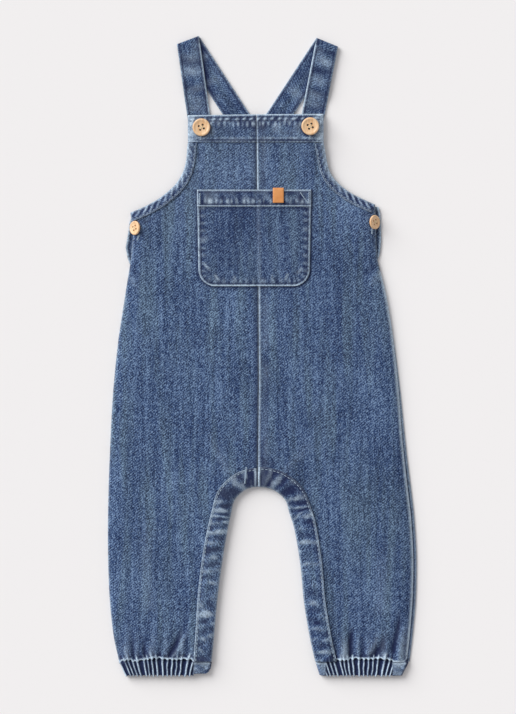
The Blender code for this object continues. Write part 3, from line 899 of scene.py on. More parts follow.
@dataclass
class Gathers:
    """The elastic's gathers: one uneven wave for a cuff's ribs and the puckers above them."""

    centre: float
    half_width: float
    taper: float
    flats: tuple[tuple[float, float], ...]
    pitch: float = 4.0
    # How far the cuff's outer end slants in at its foot, beyond its taper
    slant: float = 2.4
    # How far the ribs lean inwards over their height
    lean: float = 5.4
    foot: float = 0.5
    top: float = 12.4

    def across(self, x: Array, y: Array) -> Array:
        """The rib's place at rest, as the ribs fan out upwards."""
        narrower = self.lean * np.clip((self.top - y) / (self.top - self.foot), -0.8, 1.0)
        return (x - self.centre) * self.half_width / (self.half_width - narrower)

    def wave(self, x: Array, y: Array) -> Array:
        """The gathers' height from -1 to 1: narrow ridges, uneven in width and strength."""
        s = self.across(x, y) + 0.5 * wander(x * 0.7 + y + 150.0, 5.0, 17)
        phase = 2 * np.pi * (s + 2.6 * wander(s + 200.0, 5.5, 11)) / self.pitch
        narrow = 2.0 * ((1.0 + np.sin(phase)) / 2.0) ** 1.6 - 1.0
        return narrow * (0.85 + 0.25 * wander(s + 300.0, 5.0, 12)) * self.loose(x)

    def arch(self, x: Array) -> Array:
        """How far the leg is drawn up over the cuff, most in the middle."""
        share = np.clip(np.abs(x - self.centre) / self.half_width, 0.0, 1.0)
        return (2.2 * (1.0 - share ** 2.5) - 0.3) * self.loose(x)

    def loose(self, x: Array) -> Array:
        """1 where the cloth is gathered, 0 where it lies flat over a seam."""
        kept = np.ones(np.shape(x))
        for low, high in self.flats:
            kept *= 1.0 - ramp(x, low - 1.2, low + 0.6) * (1.0 - ramp(x, high - 0.6, high + 1.2))
        return kept


GATHERS = {
    Side.LEFT: Gathers(-78.4, 39.2, 2.4, ((-54.6, -41.0),)),
    Side.RIGHT: Gathers(88.6, 39.6, 3.2, ((49.4, 57.5), (114.7, 125.6))),
}


@dataclass
class FrontSurface:
    """The front's outer face with its creases, puckers and wear; the rest is laid on it."""

    layout: Layout
    layer: float = 1.05
    foot: float = 12.8
    # Lines beside which the cloth is darkened: painted contact shadow, with the dye that the wash
    # didn't reach
    sheltered: list[Array] = field(default_factory=list)

    def creases(self) -> list[Crease]:
        """The front's main creases, each in its own size."""
        return [
            # Above the left cuff
            Crease([(-76.7, 15), (-69.5, 27), (-64.5, 39), (-63, 50)], 3.4, -2.1, 1.5, 0.25),
            Crease([(-72.0, 17), (-65.5, 27), (-60.0, 38), (-58, 48)], 2.3, 1.1, 0.16, 0.25),
            Crease([(-96, 14), (-97.4, 34)], 2.6, -1.3, 0.95, 0.3),
            Crease([(-91.4, 18), (-92, 30)], 2.3, 0.8, 0.20, 0.2),
            Crease([(-104, 15), (-107.5, 34), (-107, 50)], 4.2, -1.1, 0.55, 0.2),
            Crease([(-111.5, 16), (-114, 32)], 2.8, 0.7, 0.22, 0.2),
            Crease([(-84, 14), (-83, 24)], 2.1, -0.9, 0.8, 0.3),
            Crease([(-66, 14), (-60, 22)], 1.9, -0.9, 0.8, 0.3),
            # Above the right cuff
            Crease([(78.5, 14), (78.6, 28), (79.5, 44)], 2.4, -2.1, 2.2, 0.5),
            Crease([(73.6, 13), (74.2, 34)], 3.6, 0.9, 0.30),
            Crease([(89.4, 14), (91.3, 42)], 2.6, -0.8, 0.50, 0.3),
            Crease([(98.5, 16.7), (105.2, 25), (108.2, 38)], 4.2, -1.8, 1.5),
            Crease([(107.5, 15), (108.5, 22)], 2.6, 0.8, 0.40),
            Crease([(95.0, 20), (99.5, 29), (102.5, 40)], 3.2, 0.9, 0.18, 0.3),
            Crease([(115, 22), (118, 36), (119.9, 47), (119.3, 60)], 3.4, -1.6, 1.15, 0.5),
            Crease([(122, 16), (124, 36), (125, 50)], 3.6, 0.9, 0.22, 0.3),
            Crease([(64.5, 14), (66, 26)], 2.2, -0.9, 0.75, 0.3),
            Crease([(70, 14), (70.5, 22)], 1.9, 0.6, 0.2, 0.3),
            # The legs' long soft drag lines, up from the knees
            Crease([(-92, 60), (-95, 110), (-93, 150)], 9.0, 0.55, 0.05, 0.5),
            Crease([(-73, 76), (-70, 128)], 8.0, -0.5, 0.07, 0.5),
            Crease([(104, 58), (107, 120)], 9.0, 0.5, 0.05, 0.5),
            Crease([(86, 66), (82, 120)], 8.0, -0.45, 0.06, 0.5),
            # The pulls out from the crotch
            Crease([(-26, 176), (-37, 196), (-44, 214)], 5.0, 0.5, 0.07, 0.3),
            Crease([(24, 176), (38, 192), (52, 204)], 6.0, 0.45, 0.05, 0.3),
            Crease([(-38, 168), (-58, 180)], 5.0, -0.5, 0.1, 0.2),
            Crease([(42, 164), (62, 174)], 5.0, -0.5, 0.1, 0.2),
            # The dye that stayed beside the centre seam, over the crotch
            Crease([(5, 182), (17, 181)], 5.5, -0.2, 0.55, 0.6),
            Crease([(-4, 182), (-13, 182)], 4.6, -0.2, 0.42, 0.6),
            # The sides below the openings
            Crease([(-108.5, 348), (-98, 337), (-88, 332)], 3.8, -0.9, 0.42, 0.2),
            Crease([(102, 352), (92, 342), (84, 338)], 4.0, -1.0, 0.5, 0.2),
            Crease([(-108, 338), (-99, 326)], 4.6, 0.6, 0.10, 0.2),
            Crease([(103, 342), (94, 331)], 4.4, 0.6, 0.10, 0.2),
            Crease([(-98, 386), (-90, 389), (-84, 390)], 2.6, -0.7, 0.5, 0.2),
            Crease([(93, 392), (86, 396)], 2.6, -0.7, 0.5, 0.2),
        ]

    def shape(self, x: Array, y: Array) -> Shaped:
        """The front's outer face at places on the plan."""
        layout = self.layout
        fold, wear, deep = press(self.creases(), x, y)
        edge = layout.edge_distance(x, y)
        inside = ramp(edge, 0.0, 9.0)
        z = layout.front_height(x, y) + fold * inside
        # Broad ease, as the cloth settles on a flat surface
        z += 0.42 * mottle(x + 300, y + 40, (34.0, 60.0), 21) * inside
        z += 0.14 * mottle(x + 300, y + 40, (11.0, 19.0), 22) * inside
        laid = Shaped(x, y, z, wear, deep)
        self.gather(laid)
        self.centre(laid)
        self.sides(laid, edge)
        # Painted contact shadow, with the unwashed dye, beside each of these lines
        for line in self.sheltered:
            laid.deep += 0.85 * bell(measure_to(x, y, line)[0], 1.1)
        # The bib is washed palest; painted light makes the bib's left half lighter than its right,
        # and painted shade darkens the right half below the bib
        laid.wear += ramp(y, 330.0, 425.0) * np.where(x < 0.0, 0.032, 0.016)
        laid.deep += 0.06 * ramp(x, 0.0, 24.0) * (1.0 - ramp(y, 320.0, 400.0))
        return laid

    def gather(self, laid: Shaped) -> None:
        """Adds the puckers above the cuffs, which fade up the legs at uneven heights."""
        x, y = laid.x, laid.y
        for side, gathers in GATHERS.items():
            here = ((x * side.value > 30.0) & (y < 60.0)).astype(float)
            wave = gathers.wave(x, y)
            up = y - self.foot
            near = np.exp(-np.maximum(up, 0.0) / (5.0 + 4.0 * wander(x + 500.0, 8.0, 13))) * here
            broad = ripple(x + 3.0 * wander(x + 400, 12.0, 14), 11.5)
            far = bell(y - 22.0, 15.0) * here
            ridge, valley = ramp(wave, 0.2, 0.85), ramp(-wave, -0.1, 0.6)
            laid.z += 0.95 * wave * near + 0.45 * broad * far + 0.7 * bell(up - 1.0, 1.6) * here
            # The puckered line stands highest where a gather reaches furthest up the leg
            high = ramp(wander(gathers.across(x, y) + 600.0, 3.6, 15), -0.3, 0.8)
            tip = 1.0 - ramp(up, 0.9 + 0.8 * ridge + 2.4 * high * ridge,
                             2.0 + 1.6 * ridge + 5.6 * high * ridge)
            lip = np.maximum(ridge, 1.0 - ramp(up, 0.6, 1.4))
            laid.wear += here * (tip * (0.55 + 0.45 * lip) + 0.08 * near * ridge
                                 + 0.08 * far * np.maximum(broad, 0.0))
            laid.deep += here * (1.25 * valley * bell(up - 3.4, 2.0)
                                 + 0.36 * far * np.maximum(-broad, 0.0)
                                 + 0.90 * valley * high * bell(up - 5.0, 5.0))

    def scallop(self, x: Array, y: Array) -> Array:
        """How far the gathered foot of the front is drawn up over the cuff's top."""
        drawn = np.zeros(x.shape)
        for side, gathers in GATHERS.items():
            here = (x * side.value > 30.0) & (y < 30.0)
            wave = gathers.wave(x, y)
            uneven = 1.1 * wander(x + 650.0, 4.5, 16) - 0.8 * wave
            drawn += here * bell(y - self.foot, 5.0) * (gathers.arch(x) + uneven * gathers.loose(x))
        return drawn

    def centre(self, laid: Shaped) -> None:
        """Adds the centre seam: a worn ridge on its right, with a sunk line on its left that is
        painted dark as its shadow.
        """
        x, y = laid.x, laid.y
        off = x - self.layout.seam_x(y)
        seamed = ramp(y, 158.0, 162.0)
        laid.z += seamed * (0.40 * bell(off - 1.1, 1.1) - 0.55 * bell(off + 0.4, 1.0))
        uneven = 0.85 + 0.15 * mottle(x * 0, y, (1.0, 5.0), 31)
        laid.wear += seamed * 0.78 * uneven * bell(off - 0.7, 0.75)
        patch = 0.5 + 0.5 * mottle(x, y, (9.0, 13.0), 32)
        laid.wear += seamed * 0.12 * bell(off - 6.0, 3.0) * patch
        uneven = 0.75 + 0.45 * mottle(x * 0, y, (1.0, 14.0), 33)
        # Painted shadow in the sunk line left of the seam, and an uneven darker band to its right
        laid.deep += seamed * (0.80 * bell(off + 0.7, 1.1) + 0.28 * bell(off + 3.0, 1.8)
                               + 0.36 * uneven * bell(off - 4.6, 2.4))

    def sides(self, laid: Shaped, edge: Array) -> None:
        """Adds the worn edge along the free sides, and the dark turned seam on the right leg."""
        x, y = laid.x, laid.y
        laid.wear += (0.22 + 0.2 * mottle(x, y, (7.0, 7.0), 41)) * bell(edge, 1.0)
        right = (x > 0) & (y > 14)
        laid.wear += np.where(right & (y < 345), 0.95, 0.0) * bell(edge, 1.5)
        laid.deep += np.where(right & (y < 330), 0.22, 0.0) * bell(edge - 3.2, 1.3)

    def layer_height(self, x: Array, y: Array,
                     layers: float | Array) -> Array:
        """The outer face of cloth laid on the front."""
        return self.shape(x, y).z + layers * self.layer


@dataclass
class Front:
    """The two front halves with their hems, bands and side plackets."""

    shop: Workshop
    surface: FrontSurface
    hem_foot: float = 454.5
    armhole_width: float = 7.5
    band_foot: float = 13.2
    pucker_top: float = 25.0
    lift: float = 1.55
    # The bib hem's reach to its outer corner, and where the armholes' hems end below it
    hem_reach: float = 58.0
    armhole_top: float = 454.1
    band_width: float = 17.0
    # Flat sizes, in metres
    hem_flat: tuple[float, float] = (0.0585, 0.0241)
    band_flat: tuple[float, float] = (0.0192, 0.170)
    placket_flat: float = 0.0136
    placket_inner: dict[Side, float] = field(
        default_factory=lambda: {Side.LEFT: 96.9, Side.RIGHT: 90.9})
    placket_span: dict[Side, tuple[float, float]] = field(
        default_factory=lambda: {Side.LEFT: (351.2, 391.5), Side.RIGHT: (355.2, 399.6)})

    @property
    def layout(self) -> Layout:
        """The plan."""
        return self.surface.layout

    def build(self) -> dict[str, Object]:
        for side in Side:
            half = self.half(side)
            hem, turned, band, placket = (self.bib_hem(side), self.armhole_hem(side),
                                          self.band(side), self.placket(side))
            rows = self.layout.front_rows(side)
            outline = np.vstack([self.layout.inner(side, rows),
                                 self.layout.front_outer(side, rows)[::-1]])

    def half(self, side: Side) -> Object:
        """One front half, from the cuff to the bib's top."""
        rows = self.layout.front_rows(side)
        # Twice as many rows through the puckers
        places = np.arange(len(rows))
        closer = np.sort(np.concatenate([places, places[rows[:, 1] < self.pucker_top] + 0.5]))
        rows = np.stack([np.interp(closer, places, column) for column in rows.T], axis=1)
        at = grid_of(self.layout.inner(side, rows), self.layout.front_outer(side, rows))

        def shape(across: Array, along: Array) -> Shaped:
            """The half's outer face."""
            x, y = at(across, along)
            laid = self.surface.shape(x, y)
            laid.y = y + self.surface.scallop(x, y)
            return laid

        columns = math.ceil(rows[:, 2].max() / self.layout.spacing)
        return self.shop.cloth(f"front_{side.word}", columns, len(rows) - 1, shape)

    def bib_hem(self, side: Side) -> Object:
        """Half of the bib's turned top hem, roped along its upper stitching."""
        rows = fine_rows(BIB[side][-2:], 0.7)
        at = grid_of(self.layout.inner(side, rows), self.layout.front_outer(side, rows))

        def shape(across: Array, along: Array) -> Shaped:
            """The hem's outer face."""
            x, y = at(across, along)
            height = BIB[side][-1].in_y - self.hem_foot
            down, up = (1.0 - along) * height, along * height
            rope = ripple(x + 2.0 * wander(x + 900.0, 9.0, 51) + 0.5 * down, 6.2)
            teeth = ripple(x + 1.6 * wander(x + 700.0, 5.0, 52), 4.4)
            zone = bell(down - 3.4, 2.8)
            z = self.surface.layer_height(x, y, 1.0)
            z += 0.22 * rope * zone - 0.28 * bell(down - 2.5, 0.7) - 0.28 * bell(down - 5.1, 0.7)
            z += 0.30 * bell(down, 1.6) - 0.35 * bell(up - 1.0, 0.7)
            z += 0.2 * mottle(x, y, (13.0, 9.0), 53)
            corner = bell((1.0 - across) * self.hem_reach, 7.5)
            base = self.surface.shape(x, y)
            fine = mottle(x, y, (3.2, 2.4), 54)
            wear = 0.90 * bell(down, 0.85) + corner * (0.42 + 0.35 * fine)
            wear += 0.65 * np.maximum(rope, 0) * bell(down - 4.0, 1.2) + 0.5 * base.wear
            blotch = mottle(x + 30.0, y, (9.0, 6.0), 56)
            wear += 0.26 * np.maximum(blotch, 0) * bell(down - 13.0, 9.0)
            wear += 0.45 * ramp(teeth, 0.1, 0.8) * bell(down - 8.2, 1.9) * (0.8 + 0.6 * fine)
            wear += 0.45 * bell(up - 0.1, 0.7) * (0.7 + 0.6 * mottle(x, y, (4.0, 9.0), 55))
            wear += 0.30 * bell(up - 3.4, 0.8) * (0.6 + 0.6 * fine)
            deep = 0.75 * ramp(-rope, 0.0, 0.8) * zone * (0.8 + 0.5 * fine)
            deep += 0.60 * bell(down - 2.4, 0.9) + 0.60 * bell(down - 5.6, 0.9)
            deep += 0.60 * ramp(-teeth, 0.1, 0.8) * bell(down - 8.0, 2.6)
            deep += 0.95 * bell(up - 1.6, 0.85) + 0.8 * base.deep
            deep += (0.10 + 0.75 * np.maximum(-blotch, 0)) * bell(down - 11.0, 9.0)
            # Painted shade under and round the strap buttons
            return Shaped(x, y, z, wear, deep * (1.0 - 0.75 * corner) + self.under_buttons(x, y))

        return self.shop.cloth(f"bib_hem_{side.word}", 66, len(rows) - 1, shape, 0.95)

    @staticmethod
    def under_buttons(x: Array, y: Array) -> Array:
        """Painted shade under and round the strap buttons: dark cloth under each, and a dark shadow
        ring just outside it.
        """
        deep = np.zeros(x.shape)
        for button in BIB_BUTTONS.values():
            away = np.hypot(x - button.x, y - button.y) - button.radius
            # Painted shade: dark under the button, and a shadow ring round it
            deep += 1.1 * (1.0 - ramp(away, 0.4, 2.2))
        return deep

    def armhole_hem(self, side: Side) -> Object:
        """The narrow turned hem along an armhole, roped on the slant as it was sewn and washed."""
        edge = Path(self.layout.armhole_edge(side), turn=float(side.value))

        def shape(across: Array, along: Array) -> Shaped:
            """The hem's outer face, inwards from the armhole's edge."""
            inwards = across * self.armhole_width
            x, y = edge.at(along * edge.length, inwards)
            y = np.minimum(y, self.armhole_top)
            s = along * edge.length
            rope = ripple(s + 1.2 * inwards + 1.8 * wander(s, 11.0, 61), 6.6)
            z = self.surface.layer_height(x, y, self.lift)
            z += 0.32 * rope * bell(inwards - 3.3, 3.2) - 0.30 * bell(inwards - 6.2, 0.8)
            fine = mottle(x, y, (3.0, 3.0), 62)
            # The rope is strongest near the side, and fades up to the bib
            roped = 1.0 - (0.45 if side is Side.LEFT else 0.75) * ramp(s / edge.length, 0.3, 0.6)
            wear = 0.60 * roped * ramp(rope, 0.2, 0.95) * bell(inwards - 2.6, 2.8)
            wear *= 0.9 + 0.6 * fine
            wear += 0.45 * bell(inwards, 0.9) + 0.35 * bell(inwards - self.armhole_width, 0.6)
            wear += 0.50 * (1.0 - roped) * bell(inwards - 1.0, 2.2)
            deep = 1.15 * roped * ramp(-rope, -0.2, 0.6) * bell(inwards - 2.8, 3.2)
            deep *= 0.9 + 0.4 * fine
            deep += 0.65 * bell(inwards - 6.2, 0.8) + 0.5 * (1.0 - roped) * bell(inwards - 4.6, 1.4)
            return Shaped(x, y, z, wear, deep, (inwards, s))

        rows = math.ceil(edge.length / 0.7)
        return self.shop.cloth(f"armhole_hem_{side.word}", 12, rows, shape)

    def band_lines(self, side: Side) -> tuple[Array, Array]:
        """The inseam band's two edges.

        Args:
            side: which leg.

        Returns:
            The line on the leg's inner edge, and the band's sewn outer line.
        """
        edge = self.layout.leg_edge(side, 0.9)
        edge[0, 1] = self.band_foot
        edge[:, 0] = np.where(edge[:, 1] > 160.9, edge[:, 0] + side.value * 0.05, edge[:, 0])
        path = Path(edge, turn=float(-side.value))
        widths = np.interp(edge[:, 1], (12.8, 70.0, 110.0, 140.0, 161.5),
                           (15.0, 17.0, 17.5, 16.5, 16.0) if side is Side.LEFT
                           else (18.0, 18.2, 18.5, 19.0, 17.0))
        outwards = path.sideways.copy()
        outwards[0], outwards[-1] = (side.value, 0.0), (0.0, 1.0)
        return edge, edge + outwards * widths[:, None]

    def band(self, side: Side) -> Object:
        """The doubled band along an inner leg, puckered across as it was sewn and washed."""
        near, far = self.band_lines(side)
        at, length = grid_of(near, far), Path(near).length
        # The puckers' contrast, the wear and dye all over, and the outer edge's over the arch
        contrast, faded, dyed, kept, outline = (
            (1.3, 0.03, 0.0, 0.3, 0.0) if side is Side.LEFT else (0.95, 0.0, 0.07, 0.85, 0.8))

        def shape(across: Array, along: Array) -> Shaped:
            """The band's outer face."""
            x, y = at(across, along)
            s, off = along * length, across * self.band_width
            far_off = self.band_width - off
            sway = 3.4 * wander(s + 90 * side.value + 200, 12.0, 71)
            pucker = ripple(s + 0.25 * off + sway, 9.4)
            patch = mottle(off + 3 * side.value + 50, s + 0.2 * off, (10.0, 5.4), 72 + side.value)
            z = self.surface.layer_height(x, y, self.lift)
            z += 0.32 * pucker * bell(off - 8.0, 8.0) + 0.30 * bell(off - 1.0, 1.4)
            z -= 0.35 * bell(far_off - 1.8, 0.8)
            fine = mottle(off + 70, s - 0.3 * off, (6.0, 2.6), 75 + side.value)
            strength = 0.66 + 0.26 * mottle(off * 0, s, (1.0, 17.0), 73)
            strength += 0.45 * ramp(y, 108.0, 140.0)
            tone = strength * (0.50 * pucker + 0.55 * patch + 0.55 * fine) * contrast
            # Over the arch the wash left more of the dye, most on the right
            arch = ramp(y, 132.0, 158.0)
            wear = 0.54 * ramp(tone, 0.05, 0.9) * bell(off - 8.0, 10.0) * (1.0 - 0.35 * arch)
            wear += faded + 0.45 * bell(off, 0.9)
            wear += 0.50 * bell(off - 16.8, 0.8) * (1.0 - kept * arch)
            crotch = self.crotch_depth(x, y)
            deep = ramp(-tone, 0.05, 0.9) * bell(off - 9.0, 11.0) + arch * (0.52 + 0.40 * fine)
            deep += dyed + 0.25 * bell(far_off - 2.6, 0.8) + crotch
            deep += outline * arch * bell(off - 16.4, 1.1)
            wear = wear * (1.0 - 0.8 * crotch) + self.crotch_wear(x, y)
            return Shaped(x, y, z, wear, deep, (off, s))

        rows = math.ceil(length / 0.9)
        return self.shop.cloth(f"inseam_band_{side.word}", 20, rows, shape)

    @staticmethod
    def crotch_depth(x: Array, y: Array) -> Array:
        """How deep the indigo stayed at the middle of the crotch, where four layers meet."""
        above = ramp(y, 161.5, 164.5)
        block = ramp(x, -10.0, -8.6) * (1.0 - ramp(x, -3.8, -2.6)) * above
        beside = 0.6 * bell(x + 0.7, 1.2) + 0.70 * bell(x - 6.5, 3.2)
        return np.clip(block + beside * above, 0, 1)

    @staticmethod
    def crotch_wear(x: Array, y: Array) -> Array:
        """The worn ridges where the crotch's seams cross."""
        here = ramp(y, 160.0, 164.0)
        return here * (0.85 * bell(x - 0.9, 0.8) + 0.5 * bell(x + 2.3, 0.7)
                       + 0.08 * bell(x - 4.5, 1.8))

    def placket(self, side: Side) -> Object:
        """The side opening's underlap, whose folded edge shows beyond the front."""
        low, high = self.placket_span[side]
        inner = self.placket_inner[side]
        outs = (109.2, 110.9, 112.6, 110.6, 109.2, 107.6) if side is Side.LEFT else (
            102.2, 103.8, 104.8, 104.7, 104.0, 102.6)

        def shape(across: Array, along: Array) -> Shaped:
            """The placket's outer face."""
            y = low + (high - low) * along
            out = np.interp(along, (0, 0.12, 0.35, 0.62, 0.88, 1.0), outs)
            x = side.value * (inner + (out - inner) * across)
            off = (out - inner) * (1.0 - across)
            z = 1.2 + 0.50 * bell(off - 1.0, 1.4) - 0.25 * bell(off - 3.0, 0.8)
            wear = 0.75 * bell(off - 0.6, 0.8) * (0.8 + 0.3 * mottle(x * 0, y, (1.0, 5.0), 81))
            wear += 0.35 * bell(y - high, 2.2)
            deep = 0.55 * bell(off - 3.2, 2.2) + 0.3 * ramp(off, 4.0, 7.0)
            return Shaped(x, y, z, wear, deep)

        return self.shop.cloth(f"side_placket_{side.word}", 24, 56, shape)


@dataclass
class Back:
    """The two plain back halves, flat on the surface."""

    shop: Workshop
    layout: Layout
    wall: float = 0.95
    upper_z: float = 1.0
    seam_foot: float = 160.0

    def build(self) -> None:
        for side in Side:
            rows = self.layout.back_rows(side)
            inner, outer = self.layout.inner(side, rows), self.layout.back_outer(side, rows)
            at = grid_of(inner, outer)

            def shape(across: Array, along: Array) -> Shaped:
                """The half's upper face, pressed flat."""
                x, y = at(across, along)
                side_edge = measure_to(x, y, outer)[0]
                seam, seamed = np.abs(x - self.layout.seam_x(y)), y > self.seam_foot
                wear = 0.55 * bell(side_edge, 1.2) + 0.35 * seamed * bell(seam - 1.2, 0.8)
                deep = 0.30 * bell(side_edge - 3.0, 1.4) + 0.4 * seamed * bell(seam, 0.8)
                return Shaped(x, y, np.full(x.shape, self.upper_z), wear, deep)

            columns = math.ceil(rows[:, 2].max() / (2 * self.layout.spacing))
            half = self.shop.cloth(f"back_{side.word}", columns, len(rows) - 1, shape, self.wall)


@dataclass
class Cuffs:
    """The two gathered cuffs: tubes pressed flat, ribbed above and flat underneath."""

    shop: Workshop
    foot: float = 0.5
    # The cuff goes on under the leg, into its seam
    top: float = 18.5
    height: float = 5.0
    wall: float = 0.8
    rib_height: float = 1.05
    seam_top: float = 12.0
    # The shares of the way round that the top and each rounded end take
    top_share: float = 0.66
    end_share: float = 0.05
    # The tube's whole way round, let out of its gathers, and its length, in metres
    let_out: tuple[float, float] = (0.230, 0.018)

    def build(self) -> None:
        for side, gathers in GATHERS.items():
            self.cuff(side, gathers)

    def round_tube(self, across: Array, straight: float) -> tuple[Array, Array]:
        """The way round the pressed tube, from its left end over the top.

        Args:
            across: how far round, from 0 to 1.
            straight: half the length of the flat top.

        Returns:
            The place across the tube from its middle, and the height.
        """
        radius, top, end = self.height / 2, self.top_share, self.end_share
        turn = np.pi * (across - top) / end
        under_t = (across - top - end) / (1.0 - top - 2 * end)
        back_turn = np.pi * (across - 1.0 + end) / end
        on = [across <= top, across <= top + end, across <= 1.0 - end]
        s = np.select(on, [
            -straight + 2 * straight * (across / top), straight + radius * np.sin(turn),
            straight - 2 * straight * under_t], -straight - radius * np.sin(back_turn))
        z = np.select(on, [
            np.full(s.shape, self.height), radius * (1 + np.cos(turn)), np.zeros(s.shape)],
            radius * (1 - np.cos(back_turn)))
        return s, z

    def cuff(self, side: Side, gathers: Gathers) -> Object:
        """One cuff."""
        straight = gathers.half_width - self.height / 2

        def shape(across: Array, along: Array) -> Shaped:
            """The cuff's outer face."""
            y = self.foot + (self.top - self.foot) * along
            s, z = self.round_tube(across, straight)
            narrower = gathers.taper * (gathers.top - y) / (gathers.top - self.foot)
            narrower = np.maximum(narrower, 0.0) + 1.5 * ramp(y, 11.8, 14.0)
            x = gathers.centre + s * (gathers.half_width - narrower) / gathers.half_width
            outer = side.value * s / gathers.half_width
            rise = (self.seam_top - np.minimum(y, self.seam_top)) / self.seam_top
            x -= side.value * gathers.slant * ramp(outer, 0.72, 1.0) * rise
            wave, upper, loose = gathers.wave(x, y), z / self.height, gathers.loose(x)
            body = 1.0 - 0.25 * bell(y - self.foot, 2.0)
            z += upper * (self.rib_height * wave * body - 1.2 * ramp(y, 12.0, 15.5))
            z += (1.0 - upper) * 1.3 * ramp(y, 11.6, 12.7)
            ridge, valley, flat = ramp(wave, 0.15, 0.7), ramp(-wave, -0.35, 0.15), 1.0 - loose
            sway = 0.78 + 0.35 * mottle(x, y, (4.0, 6.0), 91)
            blotch = mottle(x, y, (3.4, 3.0), 92)
            line = self.seam_top + gathers.arch(x)
            hem = 0.16 + 0.2 * blotch + 0.6 * bell(y - self.seam_top + 0.6, 0.8)
            wear = upper * (1.1 * ridge * sway * (1.0 - 0.5 * bell(y - line, 1.6)) + flat * hem)
            # The valleys' deep dye, and painted shade along the line where the cuff tucks under the
            # front's foot
            deep = upper * (1.2 * valley * loose + 0.9 * bell(y - line - 0.9, 1.2))
            shade = 0.30 * np.maximum(-blotch, 0.0) + 0.35 * bell(y - self.foot - 2.0, 2.0)
            deep += 0.3 * (1.0 - upper) + upper * flat * shade
            # Where the flat part is drawn up, and dark cloth beside it
            for low, high in gathers.flats:
                inside = low if abs(low) > abs(high) else high
                deep += 0.8 * upper * bell(x - inside - math.copysign(0.8, inside), 1.0)
            y += (0.5 - 0.7 * wave) * loose * bell(y - self.foot, 3.0)
            # Drawn up over a wide enough stretch that no row passes the one above it
            lifted = bell(y - self.foot, 6.5) * (1.0 if side is Side.LEFT else 0.3)
            y += flat * lifted * (2.4 + 2.6 * ramp(np.abs(x - gathers.centre), 33.5, 38.5))
            deep += 0.9 * bell(outer - 0.985, 0.022)
            return Shaped(x, y, z, wear, deep, (s + 3.0 * (1 - upper), y))

        return self.shop.cloth(f"cuff_{side.word}", 320, 22, shape, self.wall, closed=True)


class StrapRoute(NamedTuple):
    """A strap's foot on the bib, its fold at the shoulder and the way of its back arm."""

    foot_x: float
    foot_y: float
    fold_x: float
    fold_y: float
    back_tilt: float
    back_length: float


